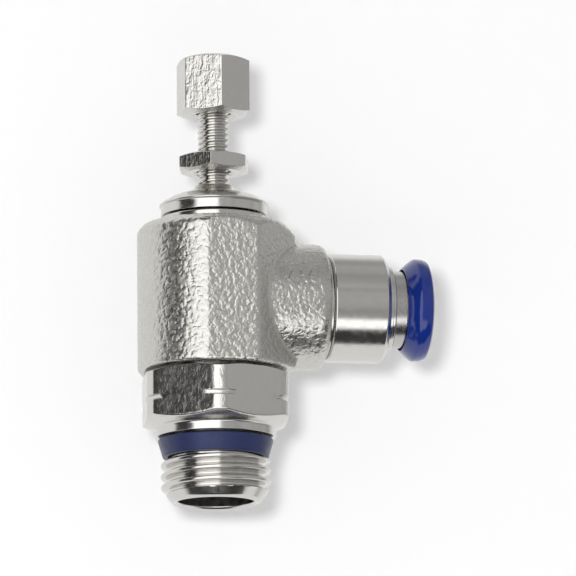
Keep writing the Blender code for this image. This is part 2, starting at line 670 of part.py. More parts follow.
def make_upper_stem_seal(parent, finish):
    """The O-ring in the body's own groove, round the upper stem."""
    height = BODY_TOP - UPPER_RING_DROP - RING_GROOVE_HEIGHT / 2
    o_ring("upper_stem_o_ring", STEM_RADIUS + RUN_GAP, O_RING_SECTION, height, parent, finish)


def make_port_sleeve(port, finish):
    """The turned sleeve of the push-in port, with its spigot in the body's socket."""
    groove_radius = SPIGOT_RADIUS - RUN_GAP - O_RING_SECTION
    groove_foot = SPIGOT_FOOT + 2 * STEM_LAND
    groove_top = groove_foot + RING_GROOVE_HEIGHT
    profile = [
        (SLEEVE_RADIUS - SLEEVE_CHAMFER, SLEEVE_END),
        (SLEEVE_RADIUS, SLEEVE_END - SLEEVE_CHAMFER),
        (SLEEVE_RADIUS, SLEEVE_FOOT),
        (SPIGOT_RADIUS, SLEEVE_FOOT),
        (SPIGOT_RADIUS, groove_top),
        (groove_radius, groove_top),
        (groove_radius, groove_foot),
        (SPIGOT_RADIUS, groove_foot),
        (SPIGOT_RADIUS, SPIGOT_FOOT),
        (TUBE_STOP_BORE / 2, SPIGOT_FOOT),
        (TUBE_STOP_BORE / 2, TUBE_STOP),
        (TUBE_BORE_RADIUS, TUBE_STOP),
        (TUBE_BORE_RADIUS, TUBE_RING_FOOT),
        (CLAW_CHAMBER_RADIUS, TUBE_RING_FOOT),
        (CLAW_CHAMBER_RADIUS, RETAINER_FOOT - SEAT_GAP),
        (MOUTH_RADIUS, RETAINER_FOOT - SEAT_GAP),
        (MOUTH_RADIUS, SLEEVE_END),
    ]
    turned("port_sleeve", profile, port, finish, closed=True)
    return groove_radius + RUN_GAP, (groove_foot + groove_top) / 2


def make_retaining_ring(port, finish):
    """The ring crimped in the sleeve's mouth; its taper closes the collet's claws on the tube."""
    half = RETAINER_LIP / 2
    groove = RETAINER_WALL / 3
    flare = RETAINER_WALL / 2
    profile = [
        (RETAINER_RADIUS - groove, RETAINER_END),
        (RETAINER_RADIUS - groove, RETAINER_END - half),
        (RETAINER_RADIUS, RETAINER_END - half),
        (RETAINER_RADIUS, RETAINER_FOOT),
        (RETAINER_BORE_RADIUS + flare, RETAINER_FOOT),
        (RETAINER_BORE_RADIUS, RETAINER_FOOT + 3 * flare),
        (RETAINER_BORE_RADIUS, RETAINER_END),
    ]
    return turned("retaining_ring", profile, port, finish, closed=True)


def make_tube_seals(port, sleeve_ring, rubber, plastic):
    """The tube's O-ring with its spacer, and the O-ring round the sleeve's spigot."""
    tube_ring_radius = CLAW_CHAMBER_RADIUS - RUN_GAP - TUBE_RING_SECTION
    tube_ring_middle = TUBE_RING_FOOT + SEAT_GAP + TUBE_RING_SECTION / 2
    o_ring("tube_o_ring", tube_ring_radius, TUBE_RING_SECTION, tube_ring_middle, port, rubber)
    ring_radius, ring_middle = sleeve_ring
    o_ring("sleeve_o_ring", ring_radius, O_RING_SECTION, ring_middle, port, rubber)
    outer = CLAW_CHAMBER_RADIUS - RUN_GAP
    inner = TUBE_BORE_RADIUS
    profile = [
        (outer, SPACER_FOOT + SPACER_THICKNESS),
        (outer, SPACER_FOOT),
        (inner, SPACER_FOOT),
        (inner, SPACER_FOOT + SPACER_THICKNESS),
    ]
    turned("spacer_ring", profile, port, plastic, closed=True)


def make_collet(port, finish):
    """The gripping collet: a thin neck behind a ring of slit claws that flare outwards."""
    claw_end = COLLET_TIP + CLAW_LENGTH
    profile = [
        (COLLET_RADIUS, COLLET_END),
        (COLLET_RADIUS, claw_end),
        (COLLET_RADIUS + CLAW_FLARE, claw_end - CLAW_LENGTH / 2),
        (COLLET_RADIUS + CLAW_FLARE, COLLET_TIP + CLAW_FLARE),
        (COLLET_RADIUS, COLLET_TIP),
        (TUBE_BORE_RADIUS, COLLET_TIP),
        (TUBE_BORE_RADIUS, COLLET_END),
    ]
    collet = turned("collet", profile, port, finish, closed=True)
    for number in range(CLAW_SLITS // 2):
        cage = bmesh.new()
        bmesh.ops.create_cube(cage, size=1.0)
        reach = 2 * (COLLET_RADIUS + CLAW_FLARE + CUT_PAST)
        bmesh.ops.scale(cage, verts=cage.verts, vec=(reach, CLAW_SLIT_WIDTH, CLAW_LENGTH + CUT_PAST))
        mesh = bpy.data.meshes.new("slit_saw")
        cage.to_mesh(mesh)
        cage.free()
        saw = place(bpy.data.objects.new(f"slit_saw_{number + 1}", mesh), port)
        saw.location.z = COLLET_TIP + (CLAW_LENGTH - CUT_PAST) / 2
        saw.rotation_euler.z = 2 * pi * (number + 0.13) / CLAW_SLITS
        boolean(collet, saw)


def make_release_collar(port, finish):
    """The release collar pressed on the collet's neck."""
    outer = COLLAR_DIAMETER / 2
    socket_radius = COLLET_RADIUS + RUN_GAP
    socket_top = COLLAR_BACK + COLLAR_GRIP + SEAT_GAP
    profile = [
        (TUBE_BORE_RADIUS + COLLAR_LEAD, COLLAR_FACE),
        (TUBE_BORE_RADIUS + COLLAR_LEAD + COLLAR_FLAT, COLLAR_FACE),
        (outer - COLLAR_ROUND / 3, COLLAR_FACE - COLLAR_ROUND / 3),
        (outer, COLLAR_FACE - COLLAR_ROUND),
        (outer, COLLAR_FACE - COLLAR_ROUND - COLLAR_RIM),
        (socket_radius + COLLAR_BACK_FLAT, COLLAR_BACK),
        (socket_radius, COLLAR_BACK),
        (socket_radius, socket_top),
        (TUBE_BORE_RADIUS, socket_top),
        (TUBE_BORE_RADIUS, COLLAR_FACE - COLLAR_LEAD),
    ]
    return turned("release_collar", profile, port, finish, closed=True)


def make_needle_screw(parent, finish):
    """The adjusting screw with its guide, the groove of its O-ring and the metering cone."""
    guide = NEEDLE_GUIDE_DIAMETER / 2
    shaft = SCREW_DIAMETER / 2
    groove = guide - NEEDLE_RING_SECTION - RUN_GAP / 2
    groove_half = NEEDLE_RING_SECTION / 2 + SEAT_GAP
    middle = (GUIDE_TOP + GUIDE_FOOT) / 2
    top = KNOB_TOP - KNOB_ROOF - SEAT_GAP
    ridges = thread(
        shaft, SCREW_THREAD_DEPTH, SCREW_PITCH, KNOB_FOOT + SCREW_PITCH, CAP_TOP - 2 * SCREW_PITCH
    )
    profile = [
        (0.0, top),
        (shaft - SCREW_THREAD_DEPTH, top),
        *ridges,
        (shaft - SCREW_THREAD_DEPTH, GUIDE_TOP),
        (guide, GUIDE_TOP),
        (guide, middle + groove_half),
        (groove, middle + groove_half),
        (groove, middle - groove_half),
        (guide, middle - groove_half),
        (guide, GUIDE_FOOT),
        (shaft, GUIDE_FOOT),
        (shaft, NEEDLE_TIP + NEEDLE_CONE_LENGTH),
        (NEEDLE_TIP_DIAMETER / 2, NEEDLE_TIP),
        (0.0, NEEDLE_TIP),
    ]
    return turned("needle_screw", profile, parent, finish, steps=NARROW_STEPS)


def make_needle_seal(parent, finish):
    """The O-ring that rides up and down with the needle."""
    inner = NEEDLE_GUIDE_DIAMETER / 2 - NEEDLE_RING_SECTION + RUN_GAP / 2
    o_ring("needle_o_ring", inner, NEEDLE_RING_SECTION, (GUIDE_TOP + GUIDE_FOOT) / 2, parent, finish)


def make_hex_blank(name, across_flats, chamfer, foot, top, parent):
    """A turned solid that trims a hexagon's corners at both ends."""
    corner = across_flats / 2 / cos(pi / 6)
    profile = [
        (0.0, top + CUT_PAST),
        (corner - 2 * chamfer - CUT_PAST, top + chamfer / 2),
        (corner + CUT_PAST, top - chamfer - CUT_PAST / 2),
        (corner + CUT_PAST, foot + chamfer + CUT_PAST / 2),
        (corner - 2 * chamfer - CUT_PAST, foot - chamfer / 2),
        (0.0, foot - CUT_PAST),
    ]
    return turned(name, profile, parent, steps=WIDE_STEPS)


def make_lock_nut(parent, finish):
    """The thin lock nut, chamfered on both sides."""
    nut = prism("lock_nut", 6, NUT_ACROSS_FLATS, NUT_FOOT, NUT_TOP, parent, NUT_TURN, finish)
    blank = make_hex_blank("nut_blank", NUT_ACROSS_FLATS, NUT_CHAMFER, NUT_FOOT, NUT_TOP, parent)
    boolean(nut, blank, "INTERSECT")
    hole = [
        (0.0, NUT_TOP + CUT_PAST),
        (SCREW_HOLE_RADIUS, NUT_TOP + CUT_PAST),
        (SCREW_HOLE_RADIUS, NUT_FOOT - CUT_PAST),
        (0.0, NUT_FOOT - CUT_PAST),
    ]
    boolean(nut, turned("nut_hole", hole, parent, steps=NARROW_STEPS))


def make_adjusting_knob(parent, finish):
    """The tall hexagonal knob fixed on the screw's head."""
    knob = prism("adjusting_knob", 6, KNOB_ACROSS_FLATS, KNOB_FOOT, KNOB_TOP, parent, KNOB_TURN, finish)
    blank = make_hex_blank("knob_blank", KNOB_ACROSS_FLATS, KNOB_CHAMFER, KNOB_FOOT, KNOB_TOP, parent)
    boolean(knob, blank, "INTERSECT")
    hole = [
        (0.0, KNOB_TOP - KNOB_ROOF),
        (SCREW_HOLE_RADIUS, KNOB_TOP - KNOB_ROOF),
        (SCREW_HOLE_RADIUS, KNOB_FOOT + KNOB_CHAMFER),
        (SCREW_HOLE_RADIUS + KNOB_CHAMFER + CUT_PAST, KNOB_FOOT - CUT_PAST),
        (0.0, KNOB_FOOT - CUT_PAST),
    ]
    boolean(knob, turned("knob_hole", hole, parent, steps=NARROW_STEPS))


def build():
    """Make every piece under the frame of the body that it moves with."""
    nickel = material("nickel_plated_brass", (0.63, 0.62, 0.60), 0.25, 1.0)
    cast_nickel = material("nickel_plated_casting", (0.58, 0.57, 0.55), 0.45, 1.0)
    brass = material("turned_brass", (0.70, 0.53, 0.25), 0.3, 1.0)
    steel = material("spring_steel", (0.55, 0.55, 0.55), 0.3, 1.0)
    rubber = material("nitrile_rubber", (0.02, 0.02, 0.02), 0.6, 0.0)
    seal_blue = material("blue_seal_polymer", (0.02, 0.03, 0.16), 0.5, 0.0)
    collar_blue = material("blue_acetal", (0.01, 0.04, 0.30), 0.3, 0.0)
    plastic = material("natural_acetal", (0.75, 0.75, 0.72), 0.4, 0.0)

    bolt_axis = frame("bolt_axis")
    swivel_axis = frame("swivel_axis", bolt_axis)
    port_axis = frame("port_axis", swivel_axis, PORT_AXIS, turned_to_x=True)
    needle_axis = frame("needle_axis", bolt_axis)

    make_banjo_bolt(bolt_axis, nickel)
    make_thread_seal(bolt_axis, seal_blue)
    make_lip_seal(bolt_axis, rubber)
    make_seat_bush(bolt_axis, brass)
    make_gland_cap(bolt_axis, nickel)
    make_thrust_washer(bolt_axis, nickel)
    make_stem_seals(bolt_axis, rubber)

    make_swivel_body(swivel_axis, port_axis, cast_nickel)
    make_upper_stem_seal(swivel_axis, rubber)
    sleeve_ring = make_port_sleeve(port_axis, nickel)
    make_retaining_ring(port_axis, nickel)
    make_tube_seals(port_axis, sleeve_ring, rubber, plastic)
    make_collet(port_axis, steel)
    make_release_collar(port_axis, collar_blue)

    make_needle_screw(needle_axis, nickel)
    make_needle_seal(needle_axis, rubber)
    make_lock_nut(needle_axis, nickel)
    make_adjusting_knob(needle_axis, nickel)


clear_scene()
PARTS = collection("flow_control_valve")
CUTTERS = collection("cutters")
build()
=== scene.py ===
"""Flow control valve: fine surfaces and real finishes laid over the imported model.

A banjo bolt carries a cast swivel body with a push-in tube port, and a needle screw with a lock nut
and a hexagonal knob comes out of its cap. Metres, +Z up the stem, +X out of the tube port.
"""

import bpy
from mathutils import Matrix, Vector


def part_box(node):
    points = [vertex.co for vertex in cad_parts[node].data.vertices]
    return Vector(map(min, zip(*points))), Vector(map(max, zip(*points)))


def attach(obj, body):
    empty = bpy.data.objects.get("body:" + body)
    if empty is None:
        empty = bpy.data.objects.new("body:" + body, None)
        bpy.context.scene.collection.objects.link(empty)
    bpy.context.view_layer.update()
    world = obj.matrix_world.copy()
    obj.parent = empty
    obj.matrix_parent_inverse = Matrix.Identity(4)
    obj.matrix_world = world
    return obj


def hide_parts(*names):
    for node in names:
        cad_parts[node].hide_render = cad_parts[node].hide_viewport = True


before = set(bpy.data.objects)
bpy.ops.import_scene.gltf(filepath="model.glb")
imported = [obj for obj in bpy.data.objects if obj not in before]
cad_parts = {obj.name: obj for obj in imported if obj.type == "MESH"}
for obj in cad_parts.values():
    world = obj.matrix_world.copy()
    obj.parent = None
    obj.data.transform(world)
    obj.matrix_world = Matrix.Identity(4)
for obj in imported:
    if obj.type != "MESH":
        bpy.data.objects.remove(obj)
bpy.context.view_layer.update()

import math

import bmesh
import bpy
import numpy as np
from bpy.props import FloatProperty, FloatVectorProperty, PointerProperty
from mathutils import Matrix, Vector

bl_info = {
    "name": "Flow control valve",
    "version": (1, 0, 0),
    "blender": (4, 5, 0),
    "location": "3D View > Sidebar > Valve",
    "description": "Makes the visible pieces of a pneumatic flow control valve and its stage",
    "category": "Object",
}

MM = 0.001
TURN = 2 * math.pi
GAP = 0.25 * MM  # between pieces that touch, turn or slide on each other on the real valve
TUBE_CLEARANCE = 0.2 * MM  # round the tube, on the radius
BAR_CORNER = 0.12 * MM  # corner radius of drawn hexagon bar

# Places that pieces share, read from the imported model
PORT_AXIS = sum(corner.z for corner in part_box("port_sleeve")) / 2
HEX_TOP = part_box("swivel_body")[0].z - GAP
STEM_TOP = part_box("banjo_bolt")[1].z


def srgb(text):
    """Linear RGBA of an sRGB hex colour: the toe is divided by 12.92, the rest follows a 2.4 power."""
    channels = [int(text[start : start + 2], 16) / 255 for start in (1, 3, 5)]
    linear = [c / 12.92 if c <= 0.04045 else ((c + 0.055) / 1.055) ** 2.4 for c in channels]
    return (*linear, 1.0)


def length(name, description, millimetres):
    """A length in metres, given in millimetres."""
    settings = {"default": millimetres * MM, "min": 0.0, "precision": 5}
    return FloatProperty(name=name, description=description, unit="LENGTH", subtype="DISTANCE", **settings)


def angle(name, description, degrees):
    """An angle, given in degrees."""
    settings = {"default": math.radians(degrees), "unit": "ROTATION", "subtype": "ANGLE"}
    return FloatProperty(name=name, description=description, **settings)


def colour(name, description, text):
    """A colour, given as sRGB hex."""
    return FloatVectorProperty(
        name=name, description=description, default=srgb(text), size=4, min=0.0, max=1.0, subtype="COLOR"
    )


class ValveSizes(bpy.types.PropertyGroup):
    """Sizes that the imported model's boxes don't give."""

    knob_flats: length("Knob across flats", "Width of the adjusting knob's hexagon", 8.0)
    knob_turn: angle("Knob turn", "Angle of one of the knob's corners from X", 33.5)
    knob_face: length("Knob face", "Radius of the flat ring at the knob's ends", 3.3)
    nut_flats: length("Nut across flats", "Width of the lock nut's hexagon", 8.0)
    nut_turn: angle("Nut turn", "Angle of one of the nut's corners from X", 16.0)
    nut_face: length("Nut face", "Radius of the flat ring on the nut's two sides", 3.4)
    hex_flats: length("Hexagon across flats", "Width of the wrench hexagon", 17.0)
    hex_turn: angle("Hexagon turn", "Angle of one of the wrench hexagon's corners from X", 25.0)
    hex_corners: length("Hexagon across corners", "Diameter that the hexagon's corners are turned to", 18.9)
    flange_height: length("Flange height", "Height of the round flange under the hexagon", 1.0)
    screw_diameter: length("Screw diameter", "Outer diameter of the adjusting screw", 3.8)
    screw_pitch: length("Screw pitch", "Rise of the adjusting screw's thread in one turn", 0.7)
    stud_pitch: length("Stud pitch", "Rise of the stud's thread in one turn", 1.337)
    stud_depth: length("Stud thread depth", "Depth of the stud's thread", 0.856)
    stud_bore: length("Stud bore", "Diameter of the stud's bore", 9.1)
    tube_diameter: length("Tube diameter", "Outer diameter of the tube that the port takes", 8.0)


class ValveFinish(bpy.types.PropertyGroup):
    """Colours of the finishes."""

    nickel: colour("Nickel", "Bright nickel plate", "#DAD8D4")
    cast_nickel: colour("Cast nickel", "Nickel plate over the casting", "#D6D4CF")
    brass: colour("Brass", "Plain turned brass", "#D9B36A")
    steel: colour("Spring steel", "Bright spring steel", "#C6C5C3")
    rubber: colour("Rubber", "Nitrile rubber", "#1C1C1D")
    seal_blue: colour("Seal blue", "Moulded thermoplastic seal", "#18244F")
    collar_blue: colour("Collar blue", "Moulded acetal of the release collar", "#0D2673")
    natural: colour("Natural acetal", "Moulded acetal without dye", "#DEDCD3")
    backdrop: colour("Backdrop", "Pale paper behind and under the valve", "#F6F6F6")


class ValveStage(bpy.types.PropertyGroup):
    """The camera's place and the lights' strengths."""

    azimuth: angle("Azimuth", "How far the camera stands round towards the port", -10.3)
    elevation: angle("Elevation", "How far the camera stands above the valve's middle", -11.1)
    roll: angle("Roll", "How far the camera is turned round its own axis", -0.54)
    distance: length("Distance", "From the camera to the point that it looks at", 753.7)
    aim_x: length("Aim along the port", "The point that the camera looks at, along X", 8.98)
    aim_z: length("Aim up the stem", "The point that the camera looks at, along Z", 18.58)
    lens: FloatProperty(name="Lens", description="Focal length", default=390.8, min=1.0, unit="CAMERA")
    key: FloatProperty(
        name="Key light", description="Power of the soft light", default=1.75, min=0.0, unit="POWER"
    )
    room: FloatProperty(
        name="Room light", description="Strength of the even light from all sides", default=0.62, min=0.0
    )


# Shapes: a lathe profile is an array of (radius, height) pairs, down the outer side of the piece


def around(count=96):
    """Even angles round a circle."""
    return np.arange(count) * TURN / count


def around_prism(sides, turn, per_side=24):
    """Angles round a prism, closer at its corners: from a side's middle the angle is half a side's
    angle times sin(90 degrees times s), for s even from -1 to 1."""
    share = np.sin(math.pi / 2 * (2 * np.arange(per_side) / per_side - 1))
    middles = turn + (np.arange(sides) + 0.5) * TURN / sides
    return (middles[:, None] + math.pi / sides * share[None, :]).ravel()


def prism_radius(angles, sides, turn, flats, corner):
    """Distance from the axis to a prism with round corners. Across a flat it is half the width over
    cos(angle from the flat's middle); round a corner it is the far side of a circle tangent to both flats."""
    half = math.pi / sides
    off_middle = np.abs((angles - turn) % (2 * half) - half)
    centre = (flats / 2 - corner) / math.cos(half)
    off_corner = half - off_middle
    across = np.sqrt(np.maximum(corner**2 - (centre * np.sin(off_corner)) ** 2, 0.0))
    tangent = math.atan((flats / 2 - corner) * math.tan(half) / (flats / 2))
    on_flat = flats / 2 / np.cos(off_middle)
    return np.where(off_middle > tangent, centre * np.cos(off_corner) + across, on_flat)


def rows(*pairs):
    """A profile from (radius, height) pairs, either of which may differ round the piece."""
    columns = max(np.size(value) for pair in pairs for value in pair)
    return np.stack([np.stack([np.broadcast_to(value, columns) for value in pair], -1) for pair in pairs])


def eased(profile, reach=0.06 * MM, steps=3, closed=True):
    """Round a profile's corners. From a point A before the corner P to a point B after it the line is
    (1-t)^2 A + 2t(1-t) P + t^2 B, and one more point beyond each keeps the flat stretches flat."""
    reach = np.broadcast_to(reach, len(profile))[:, None, None]
    back = np.roll(profile, 1, 0) - profile
    ahead = np.roll(profile, -1, 0) - profile
    parts = []
    for edge in (back, ahead):
        size = np.linalg.norm(edge, axis=-1, keepdims=True)
        along = edge / np.maximum(size, 1e-9)
        near = profile + along * np.minimum(reach, 0.3 * size)
        beyond = profile + along * np.minimum(1.6 * reach, 0.46 * size)
        parts += [near, beyond]
    start, before, end, after = (part[:, None] for part in parts)
    t = np.linspace(0, 1, steps + 1)[None, :, None, None]
    curve = (1 - t) ** 2 * start + 2 * t * (1 - t) * profile[:, None] + t**2 * end
    corners = np.concatenate([before, curve, after], 1)
    if closed:
        return corners.reshape(-1, *profile.shape[1:])
    inner = corners[1:-1].reshape(-1, *profile.shape[1:])
    return np.concatenate([profile[:1], inner, profile[-1:]])


def widened(profile, columns):
    """The same profile at every angle."""
    return np.broadcast_to(profile, (len(profile), columns, 2))


def thread_rows(angles, top, foot, radius, depth, pitch, limit=None, per_turn=16):
    """A right-hand screw thread: the radius is a smooth ridge of height/pitch minus angle/turn, and
    limit, a function of height, cuts it down at its ends."""
    height = np.linspace(top, foot, int((top - foot) / pitch * per_turn) + 1)[:, None]
    wave = np.abs(2 * ((height / pitch - angles[None, :] / TURN) % 1.0) - 1)
    slope = np.clip((wave - 0.1) / 0.72, 0, 1)
    ridge = radius - depth * (1 - slope * slope * (3 - 2 * slope))
    if limit is not None:
        ridge = np.minimum(ridge, limit(height))
    return np.stack([ridge, np.broadcast_to(height, ridge.shape)], -1)


def lathe(profile, angles, port=False):
    """Carry a profile round Z, or round the port's axis: x = r cos a, y = r sin a, z = height."""
    radius, height = profile[..., 0], profile[..., 1]
    height = np.broadcast_to(height, (len(profile), len(angles)))
    x, y = radius * np.cos(angles), radius * np.sin(angles)
    if port:
        return np.stack([height, y, PORT_AXIS - x], -1)
    return np.stack([x, y, height], -1)


def turned(name, outline, reach, steps=3, port=False, columns=128):
    """Mesh of a closed profile, its corners eased, turned round the stem or the port's axis."""
    return skin(name, lathe(widened(eased(outline, reach, steps), columns), around(columns), port))


def ring(inner, section, height, count=20):
    """The round section of an O-ring, clockwise from its outermost point."""
    turn = -around(count)
    return rows(*zip(inner + section / 2 * (1 + np.cos(turn)), height + section / 2 * np.sin(turn)))


def skin(name, points, closed=True):
    """Make a mesh of a grid of points: every four neighbours are a face, columns join round, and rows
    join too if the profile is closed; otherwise its end rows shrink to poles."""
    count, columns = points.shape[:2]
    row = np.arange(count if closed else count - 1)[:, None]
    column = np.arange(columns)[None, :]
    below = (row + 1) % count * columns
    beside = (column + 1) % columns
    faces = np.stack(
        [row * columns + column, below + column, below + beside, row * columns + beside], -1
    ).reshape(-1, 4)
    mesh = bpy.data.meshes.new(name)
    mesh.from_pydata(points.reshape(-1, 3), [], faces.tolist())
    cage = bmesh.new()
    cage.from_mesh(mesh)
    bmesh.ops.remove_doubles(cage, verts=cage.verts, dist=1e-7)
    cage.to_mesh(mesh)
    open_edges = sum(not edge.is_manifold for edge in cage.edges)
    cage.free()
    if open_edges:
        raise RuntimeError(f"{name} has {open_edges} open edges")
    return mesh


def placed(name, data):
    """A new object in the scene."""
    made = bpy.data.objects.new(name, data)
    bpy.context.scene.collection.objects.link(made)
    return made


def lay(name, mesh, finish, body, node, sharp=38.0):
    """Show a mesh in place of a CAD node, riding on its body."""
    mesh.shade_smooth()
    mesh.set_sharp_from_angle(angle=math.radians(sharp))
    piece = placed(name, mesh)
    mesh.materials.clear()
    mesh.materials.append(finish)
    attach(piece, body)
    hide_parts(node)


def evaluated(piece):
    """The piece's mesh with its modifiers applied; the piece itself is removed."""
    graph = bpy.context.evaluated_depsgraph_get()
    mesh = bpy.data.meshes.new_from_object(piece.evaluated_get(graph))
    bpy.data.objects.remove(piece)
    return mesh


def loose(name, mesh):
    """A helper object that isn't shown."""
    helper = placed(name, mesh)
    helper.hide_render = True
    return helper


def cut(piece, *cutters):
    """Take each cutter's shape out of the piece, and remove the cutters."""
    for cutter in cutters:
        modifier = piece.modifiers.new(cutter.name, "BOOLEAN")
        modifier.operation = "DIFFERENCE"
        modifier.object = cutter
    mesh = evaluated(piece)
    for cutter in cutters:
        bpy.data.objects.remove(cutter)
    return mesh


def box_of(node):
    """(lowest height, highest height, radius) of a node that is round about the stem."""
    low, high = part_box(node)
    return low.z, high.z, max(high.x, -low.x)


def port_box_of(node):
    """(nearest, furthest, radius) of a node that is round about the port's axis."""
    low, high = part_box(node)
    return low.x, high.x, (high.z - low.z) / 2


def tube_bore(context):
    """Radius of the passages that the tube goes through."""
    return context.scene.valve_sizes.tube_diameter / 2 + TUBE_CLEARANCE


# Finishes


def add(tree, kind, sockets=None, **settings):
    """Add a shader node of a kind with its settings. sockets gives each input a value, another node's
    output, or a node, which stands for its first output."""
    made = tree.nodes.new("ShaderNode" + kind)
    for name, value in settings.items():
        setattr(made, name, value)
    for name, value in (sockets or {}).items():
        if isinstance(value, bpy.types.Node):
            value = value.outputs[0]
        if isinstance(value, bpy.types.NodeSocket):
            tree.links.new(value, made.inputs[name])
        else:
            made.inputs[name].default_value = value
    return made


def started(name, base, metallic, roughness, **constants):
    """A new material with its shader's constants set; returns the material, its tree, its shader and the
    place on the object that patterns follow."""
    made = bpy.data.materials.new(name)
    made.use_nodes = True
    shader = made.node_tree.nodes["Principled BSDF"]
    shader.inputs["Base Color"].default_value = base
    shader.inputs["Metallic"].default_value = metallic
    shader.inputs["Roughness"].default_value = roughness
    for socket, value in constants.items():
        shader.inputs[socket].default_value = value
    place = add(made.node_tree, "TexCoord").outputs["Object"]
    return made, made.node_tree, shader, place


def bumped(tree, shader, height, distance):
    """Raise the surface by a height from 0 to 1 times distance."""
    bump = add(tree, "Bump", {"Height": height, "Distance": distance, "Strength": 1.0})
    tree.links.new(bump.outputs["Normal"], shader.inputs["Normal"])
    return bump


def varied(tree, shader, source, low, high):
    """Let the roughness run from low to high with a pattern."""
    sockets = {"Value": source, "To Min": low, "To Max": high, "From Min": 0.3, "From Max": 0.7}
    tree.links.new(add(tree, "MapRange", sockets).outputs["Result"], shader.inputs["Roughness"])


def turned_nickel(palette, name="turned_nickel", along_port=False, grain=0.0):
    """Bright nickel plate over lathe-turned brass: a mirror drawn out a little by rings that the tool
    leaves, drawn 0.16 mm apart so that they show, with a few fine scratches. grain adds the skin of
    forged hexagon bar."""
    made, tree, shader, place = started(name, palette.nickel, 1.0, 0.16)
    axis_at = (0.0, 0.0, -PORT_AXIS) if along_port else (0.0, 0.0, 0.0)
    centre = add(tree, "Mapping", {"Vector": place, "Location": axis_at})
    x, y, z = add(tree, "SeparateXYZ", {"Vector": centre}).outputs
    far, near, high = (y, z, x) if along_port else (x, y, z)
    squares = add(tree, "Math", {0: far, 1: far}, operation="MULTIPLY")
    total = add(tree, "Math", {0: near, 1: near, 2: squares}, operation="MULTIPLY_ADD")
    radius = add(tree, "Math", {0: total}, operation="SQRT")
    run = add(tree, "Math", {0: radius, 1: high}, operation="ADD")
    sockets = {"W": run, "Scale": 1 / (0.16 * MM), "Detail": 2.0, "Roughness": 0.6}
    rings = add(tree, "TexNoise", sockets, noise_dimensions="1D")
    sockets = {"Vector": centre, "Scale": 1 / (0.9 * MM), "Detail": 3.0, "Roughness": 0.65}
    fine = add(tree, "TexNoise", sockets)
    mixed = add(tree, "Math", {0: fine, 1: 0.8, 2: rings}, operation="MULTIPLY_ADD")
    varied(tree, shader, fine, 0.1, 0.24)
    ring_bump = bumped(tree, shader, mixed, 0.0022 * MM)
    if grain:
        forged = bumped(tree, shader, bar_skin(tree, place, high), grain)
        tree.links.new(ring_bump.outputs["Normal"], forged.inputs["Normal"])
    return made


def bar_skin(tree, place, height):
    """The skin of the hexagon's bar, only between the flange and the hexagon's top: lumps of about
    0.5 mm, a little longer up than across."""
    stretched = add(tree, "Mapping", {"Vector": place, "Scale": (1.0, 1.0, 0.6)})
    sockets = {"Vector": stretched, "Scale": 1 / (0.55 * MM), "Detail": 2.5, "Roughness": 0.6}
    lumps = add(tree, "TexNoise", sockets)
    sockets = {"Value": height, "From Min": 1.3 * MM, "From Max": 1.6 * MM}
    above = add(tree, "MapRange", sockets, interpolation_type="SMOOTHSTEP")
    sockets = {"Value": height, "From Min": HEX_TOP + 0.1 * MM, "From Max": HEX_TOP}
    below = add(tree, "MapRange", sockets, interpolation_type="SMOOTHSTEP")
    band = add(tree, "Math", {0: above, 1: below}, operation="MULTIPLY")
    return add(tree, "Math", {0: lumps, 1: band}, operation="MULTIPLY")


def drawn_nickel(palette):
    """Nickel plate over drawn hexagon bar: upright die lines, drawn 0.3 mm apart so that they show,
    and a faint orange peel, so that flats mirror the room with a shiver."""
    made, tree, shader, place = started("drawn_nickel", palette.nickel, 1.0, 0.2)
    stretched = add(tree, "Mapping", {"Vector": place, "Scale": (1.0, 1.0, 0.22)})
    sockets = {"Vector": stretched, "Scale": 1 / (0.32 * MM), "Detail": 2.0, "Roughness": 0.6}
    lines = add(tree, "TexNoise", sockets)
    sockets = {"Vector": place, "Scale": 1 / (0.7 * MM), "Detail": 3.0, "Roughness": 0.55}
    peel = add(tree, "TexNoise", sockets | {"Distortion": 0.6})
    mixed = add(tree, "Math", {0: lines, 1: 0.55, 2: peel}, operation="MULTIPLY_ADD")
    varied(tree, shader, peel, 0.13, 0.26)
    bumped(tree, shader, mixed, 0.06 * MM)
    return made


def cast_nickel(palette):
    """Nickel plate over a tumbled brass casting: sand grains of 0.5 mm that the plate rounds off, so
    each lump holds its own small highlight."""
    made, tree, shader, place = started("cast_nickel", palette.cast_nickel, 1.0, 0.3)
    sockets = {"Vector": place, "Scale": 1 / (0.55 * MM), "Detail": 1.5, "Roughness": 0.5}
    lumps = add(tree, "TexNoise", sockets | {"Distortion": 0.3})
    varied(tree, shader, lumps, 0.22, 0.36)
    bumped(tree, shader, lumps, 0.13 * MM)
    return made


def turned_brass(palette):
    """Plain turned brass: warm and bright, with tool rings."""
    made, tree, shader, place = started("turned_brass", palette.brass, 1.0, 0.28)
    marks = add(tree, "TexNoise", {"Vector": place, "Scale": 1 / (0.4 * MM), "Detail": 3.0})
    bumped(tree, shader, marks, 0.004 * MM)
    return made


def spring_steel(palette):
    """Bright spring steel strip, formed: smooth, with a grey cast."""
    made, tree, shader, place = started("spring_steel", palette.steel, 1.0, 0.24)
    marks = add(tree, "TexNoise", {"Vector": place, "Scale": 1 / (0.5 * MM), "Detail": 3.0})
    varied(tree, shader, marks, 0.18, 0.3)
    bumped(tree, shader, marks, 0.003 * MM)
    return made


def moulded(name, base, roughness, grain, depth, **constants):
    """A moulded polymer or rubber: an even colour with a faint waviness grain millimetres across."""
    made, tree, shader, place = started(name, base, 0.0, roughness, **constants)
    waves = add(tree, "TexNoise", {"Vector": place, "Scale": 1 / (grain * MM), "Detail": 3.0})
    varied(tree, shader, waves, roughness * 0.8, roughness * 1.25)
    bumped(tree, shader, waves, depth * MM)
    return made


def black_rubber(palette):
    """Nitrile rubber, moulded: satin black."""
    return moulded("black_rubber", palette.rubber, 0.5, 0.3, 0.004, IOR=1.52)


